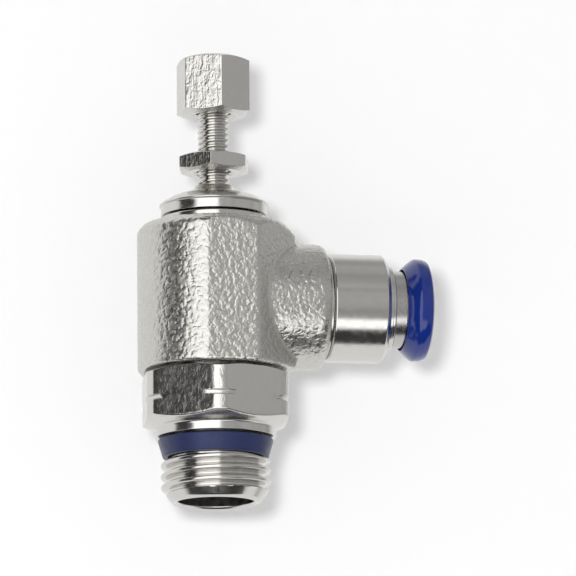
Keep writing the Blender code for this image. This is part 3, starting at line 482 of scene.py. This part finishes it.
def blue_seal(palette):
    """Thermoplastic polyurethane, moulded: a satin navy that lightens where it turns away."""
    sheen = {"Sheen Weight": 0.15, "Sheen Roughness": 0.4}
    return moulded("blue_seal", palette.seal_blue, 0.42, 0.5, 0.006, IOR=1.5, **sheen)


def blue_acetal(palette):
    """Acetal, moulded in a polished tool: glossy and even, with the faintest waves."""
    return moulded("blue_acetal", palette.collar_blue, 0.1, 1.6, 0.01, **{"IOR": 1.48, "Coat Weight": 0.4})


def white_acetal(palette):
    """Natural acetal, moulded: milky and satin."""
    return moulded("white_acetal", palette.natural, 0.4, 0.8, 0.004, IOR=1.48)


# Pieces


KNOB_CONE, NUT_CONE = 0.405, 0.38  # how far the turned ends fall, for each metre out


def prism_rows(edge, face, slope, foot, top, reach=0.05 * MM):
    """The outside of a hexagon with turned ends, from the top face's rim to the bottom face's rim: the
    cone meets each flat at a height of slope times (radius - face) from the end."""
    drop = slope * (edge - face)
    outline = rows(
        (0.9 * face, top), (face, top), (edge, top - drop), (edge, foot + drop), (face, foot),
        (0.9 * face, foot),
    )
    return eased(outline, reach, closed=False)


class VALVE_OT_adjusting_knob(bpy.types.Operator):
    """Make the tall hexagonal knob fixed on the screw's head"""

    bl_idname = "valve.adjusting_knob"
    bl_label = "Adjusting knob"

    def execute(self, context):
        sizes = context.scene.valve_sizes
        foot, top, _ = box_of("adjusting_knob")
        angles = around_prism(6, sizes.knob_turn)
        edge = prism_radius(angles, 6, sizes.knob_turn, sizes.knob_flats, BAR_CORNER)
        outside = prism_rows(edge, sizes.knob_face, KNOB_CONE, foot, top)
        hole = sizes.screw_diameter / 2 + GAP
        roof = top - 1.5 * MM
        inside = rows(
            (hole + 0.7 * MM, foot), (hole, foot + 0.45 * MM), (hole, roof), (0.0, roof),
        )
        crown = rows((0.0, top))
        profile = np.concatenate([widened(crown, len(angles)), outside, widened(inside, len(angles))])
        mesh = skin("adjusting_knob_skin", lathe(profile, angles), closed=False)
        finish = drawn_nickel(context.scene.valve_finish)
        lay("knob", mesh, finish, "needle", "adjusting_knob", sharp=24.0)
        return {"FINISHED"}


class VALVE_OT_lock_nut(bpy.types.Operator):
    """Make the thin lock nut, chamfered on both sides"""

    bl_idname = "valve.lock_nut"
    bl_label = "Lock nut"

    def execute(self, context):
        sizes = context.scene.valve_sizes
        foot, top, _ = box_of("lock_nut")
        angles = around_prism(6, sizes.nut_turn)
        edge = prism_radius(angles, 6, sizes.nut_turn, sizes.nut_flats, BAR_CORNER)
        outside = prism_rows(edge, sizes.nut_face, NUT_CONE, foot, top)
        hole = sizes.screw_diameter / 2 + GAP
        inside = rows(
            (hole + 0.3 * MM, foot), (hole, foot + 0.3 * MM), (hole, top - 0.3 * MM),
            (hole + 0.3 * MM, top),
        )
        profile = np.concatenate([outside, widened(inside, len(angles))])
        mesh = skin("lock_nut_skin", lathe(profile, angles))
        finish = drawn_nickel(context.scene.valve_finish)
        lay("nut", mesh, finish, "nut", "lock_nut", sharp=24.0)
        return {"FINISHED"}


class VALVE_OT_needle_screw(bpy.types.Operator):
    """Make the adjusting screw with its guide, seal groove and metering cone"""

    bl_idname = "valve.needle_screw"
    bl_label = "Needle screw"

    def execute(self, context):
        sizes = context.scene.valve_sizes
        tip, top, guide = box_of("needle_screw")
        ring_foot, ring_top, _ = box_of("needle_o_ring")
        middle, half = (ring_foot + ring_top) / 2, (ring_top - ring_foot) / 2 + GAP
        shaft = sizes.screw_diameter / 2
        root = shaft - 0.35 * MM
        groove = guide - 2 * half + 0.4 * MM
        angles = around(64)
        thread_foot = middle + 2.4 * MM
        ridges = thread_rows(
            angles,
            top,
            thread_foot,
            shaft,
            shaft - root,
            sizes.screw_pitch,
            limit=lambda z: np.minimum(root + (top - z), shaft),
            per_turn=18,
        )
        body = rows(
            (root, thread_foot - 0.3 * MM), (root, middle + 1.0 * MM), (guide, middle + 1.0 * MM),
            (guide, middle + half), (groove, middle + half), (groove, middle - half),
            (guide, middle - half), (guide, middle - 1.0 * MM), (shaft, middle - 1.0 * MM),
            (shaft, tip + 2.4 * MM), (0.8 * MM, tip), (0.0, tip),
        )
        body = widened(eased(body, 0.04 * MM, closed=False), len(angles))
        crown = widened(rows((0.0, top)), len(angles))
        mesh = skin("needle_screw_skin", lathe(np.concatenate([crown, ridges, body]), angles), closed=False)
        finish = turned_nickel(context.scene.valve_finish, "screw_nickel")
        lay("screw", mesh, finish, "needle", "needle_screw", sharp=50.0)
        return {"FINISHED"}


class VALVE_OT_gland_cap(bpy.types.Operator):
    """Make the domed cap with its cartridge"""

    bl_idname = "valve.gland_cap"
    bl_label = "Gland cap"

    def execute(self, context):
        sizes = context.scene.valve_sizes
        foot, top, rim = box_of("gland_cap")
        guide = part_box("needle_screw")[1].x + GAP
        cartridge = guide + 0.85 * MM
        hole = sizes.screw_diameter / 2 + GAP
        rim_top = top - 2.4 * MM
        cap_foot = rim_top - 1.3 * MM
        band = rim - 0.2 * MM
        outline = rows(
            (hole + 0.2 * MM, top), (2.3 * MM, top), (2.5 * MM, top - 0.35 * MM),
            (3.2 * MM, top - 0.7 * MM), (rim - 1.5 * MM, rim_top + 1.05 * MM),
            (rim - 0.75 * MM, rim_top + 0.62 * MM), (rim - 0.2 * MM, rim_top + 0.22 * MM),
            (rim, rim_top + 0.06 * MM), (rim, rim_top - 0.06 * MM), (band, rim_top - 0.22 * MM),
            (band, cap_foot), (cartridge, cap_foot), (cartridge, foot), (guide, foot),
            (guide, cap_foot + 0.4 * MM), (hole, cap_foot + 0.4 * MM), (hole, top - 0.2 * MM),
        )
        reach = np.full(len(outline), 0.08 * MM)
        reach[3:6] = 0.5 * MM
        mesh = turned("gland_cap_skin", outline, reach, 5)
        finish = turned_nickel(context.scene.valve_finish, "cap_nickel")
        lay("cap", mesh, finish, "bolt", "gland_cap")
        return {"FINISHED"}


class VALVE_OT_thrust_washer(bpy.types.Operator):
    """Make the washer that the body turns against"""

    bl_idname = "valve.thrust_washer"
    bl_label = "Thrust washer"

    def execute(self, context):
        foot, top, outer = box_of("thrust_washer")
        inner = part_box("cap_o_ring")[1].x + GAP
        outline = rows((outer, top), (outer, foot), (inner, foot), (inner, top))
        mesh = turned("thrust_washer_skin", outline, 0.12 * MM)
        finish = turned_nickel(context.scene.valve_finish, "washer_nickel")
        lay("washer", mesh, finish, "bolt", "thrust_washer")
        return {"FINISHED"}


class VALVE_OT_swivel_body(bpy.types.Operator):
    """Make the cast body: barrel and boss are joined, softened like a casting, then bored"""

    bl_idname = "valve.swivel_body"
    bl_label = "Swivel body"

    def barrel(self):
        """The barrel is round away from the port, flat in front and behind and bevelled beside the port:
        its radius is the least of the distances to those sides, each half a width over a cosine."""
        low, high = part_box("swivel_body")
        round_side, flat = -low.x, high.y
        bevel_legs, shoulder, shoulder_slope, foot_chamfer = 5.4 * MM, 8.6 * MM, 1.2, 0.3 * MM
        bevel = (round_side + flat - bevel_legs) / math.sqrt(2)
        angles = around(360)
        right = np.abs(np.where(angles > math.pi, angles - TURN, angles))
        to_flat = flat / np.maximum(np.sin(right), 0.1)
        to_bevel = bevel / np.maximum(np.cos(right - math.pi / 4), 0.1)
        to_port = round_side / np.maximum(np.cos(right), 0.1)
        port_half = np.minimum(np.minimum(to_flat, to_bevel), to_port)
        edge = np.where(np.cos(right) < 0, np.minimum(round_side, to_flat), port_half)
        drop = np.maximum(shoulder_slope * (edge - shoulder), 0.0)
        outline = rows(
            (0.0, high.z), (shoulder, high.z), (edge, high.z - drop), (edge, low.z + foot_chamfer),
            (edge - foot_chamfer, low.z), (0.0, low.z),
        )
        return skin("barrel", lathe(outline, angles), closed=False)

    def boss(self):
        """The round boss, with a rolled rim."""
        reach_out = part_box("swivel_body")[1].x
        radius, root = 7.65 * MM, 4.0 * MM
        outline = rows((0.0, reach_out), (radius, reach_out), (radius, root), (0.0, root))
        reach = np.array([0, 1.3, 0.2, 0]) * MM
        profile = eased(outline, reach, 8, closed=False)
        return skin("boss", lathe(widened(profile, 96), around(), port=True), closed=False)

    def bores(self):
        """Cutters for the stem's stepped bore and for the port's socket."""
        low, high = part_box("swivel_body")
        groove_foot, groove_top, groove = box_of("upper_stem_o_ring")
        upper, lower, passage = 5.85 * MM, 6.5 * MM, 2.3 * MM
        step = PORT_AXIS + 2.7 * MM
        past = 1.0 * MM
        bore = rows(
            (0.0, high.z + past), (upper, high.z + past), (upper, groove_top + GAP),
            (groove + GAP, groove_top + GAP), (groove + GAP, groove_foot - GAP),
            (upper, groove_foot - GAP), (upper, step), (lower, step), (lower, low.z - past),
            (0.0, low.z - past),
        )
        spigot, _, sleeve = port_box_of("port_sleeve")
        socket = sleeve - 0.35 * MM + GAP
        port = rows(
            (0.0, high.x + past), (socket + past, high.x + past), (socket, high.x - 0.12 * MM),
            (socket, spigot - GAP), (passage, spigot - GAP), (passage, 4.8 * MM), (0.0, 4.8 * MM),
        )
        cutters = []
        for name, outline, turned_to_port in (("bore", bore, False), ("socket", port, True)):
            points = lathe(widened(outline, 96), around(), port=turned_to_port)
            cutters.append(loose(name, skin(name, points, closed=False)))
        return cutters

    def execute(self, context):
        cage = bmesh.new()
        cage.from_mesh(self.barrel())
        cage.from_mesh(self.boss())
        both = bpy.data.meshes.new("barrel_and_boss")
        cage.to_mesh(both)
        cage.free()
        casting = loose("casting", both)
        joined = casting.modifiers.new("join", "REMESH")
        joined.mode = "VOXEL"
        joined.voxel_size = 0.2 * MM
        joined.use_smooth_shade = True
        soften = casting.modifiers.new("soften", "SMOOTH")
        soften.factor = 0.5
        soften.iterations = 8
        mesh = cut(casting, *self.bores())
        finish = cast_nickel(context.scene.valve_finish)
        lay("body", mesh, finish, "swivel", "swivel_body", sharp=30.0)
        return {"FINISHED"}


class VALVE_OT_banjo_bolt(bpy.types.Operator):
    """Make the threaded stud, the wrench hexagon and the hollow stem, all one piece"""

    bl_idname = "valve.banjo_bolt"
    bl_label = "Banjo bolt"

    def stem(self):
        """The stem's outside from its top to the hexagon, with its grooves, chamber and waist."""
        upper, lower, chamber, waist, ring_floor = 5.6 * MM, 6.25 * MM, 4.8 * MM, 5.3 * MM, 4.9 * MM
        lip_foot, lip_top, _ = box_of("check_lip_seal")
        ring_foot, ring_top, _ = box_of("lower_stem_o_ring")
        chamber_foot, chamber_top = PORT_AXIS - 2.3 * MM, PORT_AXIS + 2.3 * MM
        lip_radius = lower - 1.45 * MM
        waist_top = lip_foot - GAP - 0.2 * MM
        waist_foot = waist_top - 1.75 * MM
        return rows(
            (upper, STEM_TOP), (upper, chamber_top), (chamber, chamber_top), (chamber, chamber_foot),
            (lower, chamber_foot), (lower, lip_top + GAP), (lip_radius, lip_top + GAP),
            (lip_radius, lip_foot - GAP), (lower, lip_foot - GAP), (lower, waist_top),
            (waist, waist_top), (waist, waist_foot), (lower, waist_foot), (lower, ring_top + GAP),
            (ring_floor, ring_top + GAP), (ring_floor, ring_foot - GAP), (lower, ring_foot - GAP),
            (lower, HEX_TOP),
        )

    def hexagon(self, sizes, angles):
        """The hexagon with its turned ends and its corner notch, and the flange under it."""
        sharp = prism_radius(angles, 6, sizes.hex_turn, sizes.hex_flats, 0.1 * MM)
        edge = np.minimum(sharp, sizes.hex_corners / 2)
        flange = 7.25 * MM
        notch = sizes.flange_height + 3.1 * MM
        notched = np.minimum(edge, sizes.hex_corners / 2 - 0.45 * MM)
        rise = 0.467 * (edge - flange)
        top_drop = np.maximum(0.45 * (edge - 8.6 * MM), 0.0)
        return rows(
            (8.2 * MM, HEX_TOP), (edge, HEX_TOP - top_drop), (edge, notch + 0.3 * MM),
            (notched, notch + 0.2 * MM), (notched, notch - 0.2 * MM), (edge, notch - 0.3 * MM),
            (edge, sizes.flange_height + rise), (flange, sizes.flange_height), (flange, 0.0),
        )

    def execute(self, context):
        sizes = context.scene.valve_sizes
        angles = around_prism(6, sizes.hex_turn, 26)
        columns = len(angles)
        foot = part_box("banjo_bolt")[0].z
        seal_foot, _, _ = box_of("thread_seal_ring")
        groove, crest, end = 5.5 * MM, 6.578 * MM, 5.3 * MM
        groove_foot = seal_foot - GAP
        thread_foot = foot + 0.3 * MM
        ridges = thread_rows(
            angles,
            groove_foot,
            thread_foot,
            crest,
            sizes.stud_depth,
            sizes.stud_pitch,
            limit=lambda z: np.minimum(groove + 5.0 * (groove_foot - z), end + 0.73 * (z - foot)),
            per_turn=22,
        )
        neck = widened(rows((groove, 0.0), (groove, groove_foot + 0.05 * MM)), columns)
        upper = np.concatenate([widened(self.stem(), columns), self.hexagon(sizes, angles), neck])
        reach = np.full(len(upper), 0.08 * MM)
        reach[-5:-3] = 0.2 * MM
        bore = sizes.stud_bore / 2
        passage = 2.7 * MM
        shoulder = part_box("seat_bush")[0].z - GAP
        seat_bore, cartridge_bore = 3.5 * MM, 4.4 * MM
        inner = rows(
            (end - 0.1 * MM, foot), (bore + 0.25 * MM, foot), (bore, foot + 0.25 * MM),
            (bore, foot + 12.3 * MM), (passage, foot + 13.3 * MM), (passage, shoulder),
            (seat_bore, shoulder), (seat_bore, PORT_AXIS + 2.5 * MM),
            (cartridge_bore, PORT_AXIS + 2.5 * MM), (cartridge_bore, STEM_TOP),
        )
        outside = eased(upper, reach, 4, closed=False)
        inside = widened(eased(inner, 0.06 * MM, closed=False), columns)
        mesh = skin("banjo_bolt_skin", lathe(np.concatenate([outside, ridges, inside]), angles))
        finish = turned_nickel(context.scene.valve_finish, "bolt_nickel", grain=0.03 * MM)
        lay("bolt", mesh, finish, "bolt", "banjo_bolt", sharp=50.0)
        return {"FINISHED"}


class VALVE_OT_thread_seal(bpy.types.Operator):
    """Make the tapered captive seal under the flange"""

    bl_idname = "valve.thread_seal"
    bl_label = "Thread seal"

    def execute(self, context):
        foot, top, outer = box_of("thread_seal_ring")
        inner = 5.75 * MM
        outline = rows(
            (outer - 0.05 * MM, top), (outer, top - 0.15 * MM), (outer - 0.57 * MM, foot),
            (inner, foot), (inner, top),
        )
        mesh = turned("thread_seal_skin", outline, 0.1 * MM)
        finish = blue_seal(context.scene.valve_finish)
        lay("seal", mesh, finish, "bolt", "thread_seal_ring")
        return {"FINISHED"}


class VALVE_OT_port_sleeve(bpy.types.Operator):
    """Make the turned sleeve of the push-in port, with its spigot in the body's socket"""

    bl_idname = "valve.port_sleeve"
    bl_label = "Port sleeve"

    def execute(self, context):
        tube = tube_bore(context)
        spigot_foot, end, outer = port_box_of("port_sleeve")
        ring_foot, ring_end, ring_outer = port_box_of("sleeve_o_ring")
        tube_ring_foot, _, chamber = port_box_of("tube_o_ring")
        retainer_foot, _, mouth = port_box_of("retaining_ring")
        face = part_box("swivel_body")[1].x + GAP
        spigot = outer - 0.35 * MM
        groove = ring_outer - (ring_end - ring_foot) - GAP
        stop = tube_ring_foot - GAP - 1.4 * MM
        outline = rows(
            (outer - 0.5 * MM, end), (outer, end - 0.5 * MM), (outer, face + 0.3 * MM),
            (outer - 0.25 * MM, face), (spigot, face), (spigot, ring_end + GAP),
            (groove, ring_end + GAP), (groove, ring_foot - GAP), (spigot, ring_foot - GAP),
            (spigot, spigot_foot), (3.1 * MM, spigot_foot), (3.1 * MM, stop), (tube, stop),
            (tube, tube_ring_foot - GAP), (chamber + GAP, tube_ring_foot - GAP),
            (chamber + GAP, retainer_foot - GAP), (mouth + GAP, retainer_foot - GAP),
            (mouth + GAP, end),
        )
        mesh = turned("port_sleeve_skin", outline, 0.07 * MM, 4, port=True)
        finish = turned_nickel(context.scene.valve_finish, "sleeve_nickel", along_port=True)
        lay("sleeve", mesh, finish, "swivel", "port_sleeve")
        return {"FINISHED"}


class VALVE_OT_retaining_ring(bpy.types.Operator):
    """Make the ring crimped in the sleeve's mouth, with two steps outside"""

    bl_idname = "valve.retaining_ring"
    bl_label = "Retaining ring"

    def execute(self, context):
        foot, end, outer = port_box_of("retaining_ring")
        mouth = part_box("port_sleeve")[1].x
        bore = 4.9 * MM
        outline = rows(
            (outer - 0.3 * MM, end), (outer - 0.2 * MM, end - 0.1 * MM),
            (outer - 0.2 * MM, (mouth + end) / 2), (outer, (mouth + end) / 2), (outer, foot),
            (bore + 0.27 * MM, foot), (bore, foot + 0.8 * MM), (bore, end),
        )
        mesh = turned("retaining_ring_skin", outline, 0.05 * MM, 4, port=True)
        finish = turned_nickel(context.scene.valve_finish, "retainer_nickel", along_port=True)
        lay("retainer", mesh, finish, "swivel", "retaining_ring")
        return {"FINISHED"}


class VALVE_OT_collet(bpy.types.Operator):
    """Make the gripping collet, whose flared end is sawn into claws"""

    bl_idname = "valve.collet"
    bl_label = "Collet"

    def execute(self, context):
        tip, end, flare = port_box_of("collet")
        bore = tube_bore(context)
        neck = bore + 0.45 * MM
        outline = rows(
            (neck, end), (neck, tip + 2.9 * MM), (flare, tip + 1.45 * MM), (flare, tip + 0.3 * MM),
            (neck, tip), (bore, tip), (bore, end),
        )
        mesh = turned("collet_blank", outline, 0.08 * MM, 4, port=True, columns=120)
        blank = loose("collet_blank", mesh)
        saws, first_saw = [], 0.13
        for number in range(3):
            cage = bmesh.new()
            turn = Matrix.Rotation(math.pi * (number + first_saw) / 3, 4, "X")
            centre = Matrix.Translation((tip + 0.95 * MM, 0.0, PORT_AXIS))
            size = Matrix.Diagonal((3.9 * MM, 0.5 * MM, 4 * flare, 1.0))
            bmesh.ops.create_cube(cage, size=1.0, matrix=centre @ turn @ size)
            mesh = bpy.data.meshes.new("saw")
            cage.to_mesh(mesh)
            cage.free()
            saws.append(loose(f"saw_{number + 1}", mesh))
        mesh = cut(blank, *saws)
        finish = spring_steel(context.scene.valve_finish)
        lay("grip_collet", mesh, finish, "release", "collet", sharp=30.0)
        return {"FINISHED"}


class VALVE_OT_release_collar(bpy.types.Operator):
    """Make the collar that is pressed to release the tube"""

    bl_idname = "valve.release_collar"
    bl_label = "Release collar"

    def execute(self, context):
        back, face, outer = port_box_of("release_collar")
        tube = tube_bore(context)
        socket = tube + 0.7 * MM
        socket_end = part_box("collet")[1].x + 0.35 * MM
        outline = rows(
            (tube + 0.4 * MM, face), (outer - 0.75 * MM, face), (outer - 0.2 * MM, face - 0.3 * MM),
            (outer, face - 0.95 * MM), (outer, face - 1.75 * MM), (outer - 0.45 * MM, face - 2.35 * MM),
            (socket + 0.15 * MM, back), (socket, back), (socket, socket_end), (tube, socket_end),
            (tube, face - 0.4 * MM),
        )
        reach = np.array([0.1, 0.25, 0.3, 0.3, 0.25, 0.25, 0.1, 0.06, 0.06, 0.06, 0.15]) * MM
        finish = blue_acetal(context.scene.valve_finish)
        mesh = turned("release_collar_skin", outline, reach, 6, port=True)
        lay("collar", mesh, finish, "release", "release_collar", sharp=60.0)
        return {"FINISHED"}


class VALVE_OT_inner_seals(bpy.types.Operator):
    """Make the six O-rings and the one-way lip seal"""

    bl_idname = "valve.inner_seals"
    bl_label = "Inner seals"

    def execute(self, context):
        finish = black_rubber(context.scene.valve_finish)
        for node, body in (
            ("lower_stem_o_ring", "bolt"), ("cap_o_ring", "bolt"), ("needle_o_ring", "needle_carriage"),
            ("upper_stem_o_ring", "swivel"), ("tube_o_ring", "swivel"), ("sleeve_o_ring", "swivel"),
        ):
            on_port = node in ("tube_o_ring", "sleeve_o_ring")
            low, high, outer = port_box_of(node) if on_port else box_of(node)
            section = ring(outer - (high - low), high - low, (low + high) / 2)
            points = lathe(widened(section, 96), around(), port=on_port)
            mesh = skin(f"{node}_skin", points)
            lay(node.replace("o_ring", "seal"), mesh, finish, body, node)
        foot, top, outer = box_of("check_lip_seal")
        inner = outer - 1.2 * MM
        third = (top - foot) / 3
        outline = rows(
            (outer, top), (outer - 0.3 * MM, foot), (inner, foot), (inner, top),
            (inner + 0.3 * MM, top), (inner + 0.5 * MM, foot + third), (outer - 0.5 * MM, foot + third),
            (outer - 0.15 * MM, top),
        )
        mesh = turned("check_lip_seal_skin", outline, 0.05 * MM, columns=96)
        lay("lip_seal", mesh, finish, "bolt", "check_lip_seal")
        return {"FINISHED"}


class VALVE_OT_inner_rings(bpy.types.Operator):
    """Make the seat bush that the needle closes on and the spacer behind the tube's O-ring"""

    bl_idname = "valve.inner_rings"
    bl_label = "Seat bush and spacer"

    def execute(self, context):
        palette = context.scene.valve_finish
        foot, top, outer = box_of("seat_bush")
        orifice = 1.5 * MM
        outline = rows(
            (outer, top), (outer, foot), (orifice, foot), (orifice, top - 0.3 * MM),
            (orifice + 0.3 * MM, top),
        )
        mesh = turned("seat_bush_skin", outline, 0.05 * MM, columns=96)
        lay("seat", mesh, turned_brass(palette), "bolt", "seat_bush")
        foot, end, outer = port_box_of("spacer_ring")
        inner = tube_bore(context)
        outline = rows((outer, end), (outer, foot), (inner, foot), (inner, end))
        mesh = turned("spacer_ring_skin", outline, 0.06 * MM, port=True, columns=96)
        lay("spacer", mesh, white_acetal(palette), "swivel", "spacer_ring")
        return {"FINISHED"}


# Stage


def paper(palette):
    """Matt paper, seen only from its front, so that it never hides the valve from behind."""
    made, tree, shader, _ = started("backdrop_paper", palette.backdrop, 0.0, 0.9)
    side = add(tree, "NewGeometry").outputs["Backfacing"]
    both = add(tree, "MixShader", {0: side, 1: shader, 2: add(tree, "BsdfTransparent")})
    tree.links.new(both.outputs[0], tree.nodes["Material Output"].inputs["Surface"])
    return made


TENT_RADIUS = 0.5
# From the valve towards the front, a little left and low: the window and the gap stand round this way
FRONT = (-0.1755, -0.9655, -0.1926)
WINDOW_LIGHT, GAP_LIGHT, PAPER_LIGHT, WALL_LIGHT, WALL_CLOUDS = 1.55, 0.05, 0.87, 0.4, 0.13
# The key light: how far it stands up, left and away from the aim, as seen from the camera, and its width
KEY_UP, KEY_LEFT, KEY_AWAY, KEY_WIDTH = 0.045, 0.05, 0.62, 42 * MM


def tent_light():
    """The inside of a light tent: a round white window in front, a dark gap round it, pale paper beyond,
    and a grey wall over the right front. The window and gap end where the way's share of FRONT drops."""
    made = bpy.data.materials.new("tent_light")
    made.use_nodes = True
    tree = made.node_tree
    tree.nodes.clear()
    place = add(tree, "TexCoord").outputs["Object"]
    way = add(tree, "VectorMath", {0: place}, operation="NORMALIZE")
    share = add(tree, "VectorMath", {0: way, 1: FRONT}, operation="DOT_PRODUCT").outputs["Value"]
    x, y, z = add(tree, "SeparateXYZ", {"Vector": way}).outputs
    clouds = add(tree, "TexNoise", {"Vector": way, "Scale": 2.2, "Detail": 1.0})
    sockets = {"Value": clouds, "From Min": 0.3, "From Max": 0.7}
    sockets |= {"To Min": WALL_LIGHT - WALL_CLOUDS, "To Max": WALL_LIGHT + WALL_CLOUDS}
    wall = add(tree, "MapRange", sockets)
    masks = []
    for source, start, end in (
        (share, 0.09, 0.19), (share, 0.65, 0.72), (x, -0.04, 0.05), (z, -0.56, -0.44), (y, 0.3, 0.65),
    ):
        sockets = {"Value": source, "From Min": start, "From Max": end}
        masks.append(add(tree, "MapRange", sockets, interpolation_type="SMOOTHSTEP"))
    in_gap, in_window, right, over, behind = masks
    on_wall = add(tree, "Math", {0: right, 1: over}, operation="MULTIPLY")
    total = PAPER_LIGHT
    for mask, strength in (
        (in_gap, GAP_LIGHT), (in_window, WINDOW_LIGHT), (on_wall, wall), (behind, PAPER_LIGHT),
    ):
        total = add(tree, "Mix", {"Factor": mask, "A": total, "B": strength})
    light = add(tree, "Emission", {"Strength": total})
    add(tree, "OutputMaterial", {"Surface": light})
    return made


def view_axes(stage):
    """The view's right, up and forward. Forward comes from azimuth and elevation, right is level, up is
    square to both, and the roll turns right and up round forward."""
    turn, rise, roll = stage.azimuth, stage.elevation, stage.roll
    forward = Vector((-math.sin(turn) * math.cos(rise), math.cos(turn) * math.cos(rise), -math.sin(rise)))
    level = Vector((math.cos(turn), math.sin(turn), 0.0))
    upright = level.cross(forward)
    right = level * math.cos(roll) + upright * math.sin(roll)
    up = upright * math.cos(roll) - level * math.sin(roll)
    return right, up, forward


class VALVE_OT_stage(bpy.types.Operator):
    """Make the paper backdrop and floor, the light tent, the lights and the camera"""

    bl_idname = "valve.stage"
    bl_label = "Stage"

    def backdrop(self, palette):
        """One sheet of paper: an upright wall just behind the port's swing, a quarter-round bend, and a
        floor that runs towards the front."""
        wall, head, floor, front, bend, wide = 29 * MM, 0.9, -0.17, -2.0, 0.05, 1.6
        turn = np.linspace(0, math.pi / 2, 13)
        y = np.concatenate([[wall], wall - bend + bend * np.cos(turn), [front]])
        z = np.concatenate([[head], floor + bend - bend * np.sin(turn), [floor]])
        side = np.linspace(-wide, wide, 2)
        points = np.stack(np.broadcast_arrays(side[None, :], y[:, None], z[:, None]), -1)
        count = len(y)
        start = np.arange(count - 1) * 2
        faces = np.stack([start, start + 2, start + 3, start + 1], -1)
        mesh = bpy.data.meshes.new("backdrop")
        mesh.from_pydata(points.reshape(-1, 3), [], faces.tolist())
        mesh.shade_smooth()
        mesh.materials.append(paper(palette))
        sheet = placed("backdrop", mesh)
        sheet.visible_glossy = False

    def tent(self):
        """A sphere round the valve that only mirrored rays see."""
        polar = np.linspace(0.0, math.pi, 33)
        profile = np.stack([TENT_RADIUS * np.sin(polar), TENT_RADIUS * np.cos(polar)], -1)[:, None]
        mesh = skin("light_tent", lathe(widened(profile, 64), around(64)), closed=False)
        mesh.materials.append(tent_light())
        sphere = placed("light_tent", mesh)
        for rays in ("camera", "diffuse", "shadow", "transmission"):
            setattr(sphere, f"visible_{rays}", False)

    def camera(self, stage, axes):
        """The camera looks along the view's forward axis at its aim."""
        data = bpy.data.cameras.new("camera")
        data.lens = stage.lens
        data.sensor_width = 36.0
        data.clip_start, data.clip_end = 0.01, 20.0
        camera = placed("camera", data)
        aim = Vector((stage.aim_x, 0.0, stage.aim_z))
        right, up, forward = axes
        turned = Matrix((right, up, -forward)).transposed().to_4x4()
        camera.matrix_world = Matrix.Translation(aim - forward * stage.distance) @ turned
        bpy.context.scene.camera = camera

    def key_light(self, stage, axes):
        """A soft light a little up and left of the camera, so that the shadow falls just to the lower
        right; mirrored rays see the tent instead."""
        data = bpy.data.lights.new("key", "AREA")
        data.shape = "DISK"
        data.size = KEY_WIDTH
        data.energy = stage.key
        light = placed("key", data)
        aim = Vector((stage.aim_x, 0.0, stage.aim_z))
        right, up, forward = axes
        towards = (up * KEY_UP - right * KEY_LEFT - forward).normalized()
        light.location = aim + towards * KEY_AWAY
        light.rotation_euler = (-towards).to_track_quat("-Z", "Y").to_euler()
        light.visible_glossy = False

    def execute(self, context):
        scene = context.scene
        world = bpy.data.worlds.new("room")
        world.use_nodes = True
        room = world.node_tree.nodes["Background"]
        room.inputs["Color"].default_value = (1.0, 1.0, 1.0, 1.0)
        room.inputs["Strength"].default_value = scene.valve_stage.room
        scene.world = world
        scene.view_settings.view_transform = "Standard"
        self.backdrop(scene.valve_finish)
        self.tent()
        axes = view_axes(scene.valve_stage)
        self.key_light(scene.valve_stage, axes)
        self.camera(scene.valve_stage, axes)
        return {"FINISHED"}


PIECE_OPERATORS = (
    VALVE_OT_banjo_bolt,
    VALVE_OT_thread_seal,
    VALVE_OT_swivel_body,
    VALVE_OT_port_sleeve,
    VALVE_OT_retaining_ring,
    VALVE_OT_collet,
    VALVE_OT_release_collar,
    VALVE_OT_thrust_washer,
    VALVE_OT_gland_cap,
    VALVE_OT_needle_screw,
    VALVE_OT_lock_nut,
    VALVE_OT_adjusting_knob,
    VALVE_OT_inner_seals,
    VALVE_OT_inner_rings,
)


class VALVE_PT_sidebar(bpy.types.Panel):
    """Lists the valve's pieces, sizes and finishes"""

    bl_idname = "VALVE_PT_sidebar"
    bl_label = "Flow control valve"
    bl_space_type = "VIEW_3D"
    bl_region_type = "UI"
    bl_category = "Valve"

    def draw(self, context):
        for group in ("valve_sizes", "valve_finish", "valve_stage"):
            settings = getattr(context.scene, group)
            column = self.layout.column()
            for name in settings.bl_rna.properties.keys():
                if name not in ("rna_type", "name"):
                    column.prop(settings, name)
        for operator in (VALVE_OT_stage, *PIECE_OPERATORS):
            self.layout.operator(operator.bl_idname)


CLASSES = (ValveSizes, ValveFinish, ValveStage, VALVE_OT_stage, *PIECE_OPERATORS, VALVE_PT_sidebar)


def register():
    for kind in CLASSES:
        bpy.utils.register_class(kind)
    bpy.types.Scene.valve_sizes = PointerProperty(type=ValveSizes)
    bpy.types.Scene.valve_finish = PointerProperty(type=ValveFinish)
    bpy.types.Scene.valve_stage = PointerProperty(type=ValveStage)


def unregister():
    for group in ("valve_sizes", "valve_finish", "valve_stage"):
        delattr(bpy.types.Scene, group)
    for kind in reversed(CLASSES):
        bpy.utils.unregister_class(kind)


def main():
    """Make the stage and every piece."""
    register()
    bpy.ops.valve.stage()
    for operator in PIECE_OPERATORS:
        family, name = operator.bl_idname.split(".")
        getattr(getattr(bpy.ops, family), name)()


if __name__ == "__main__":
    main()
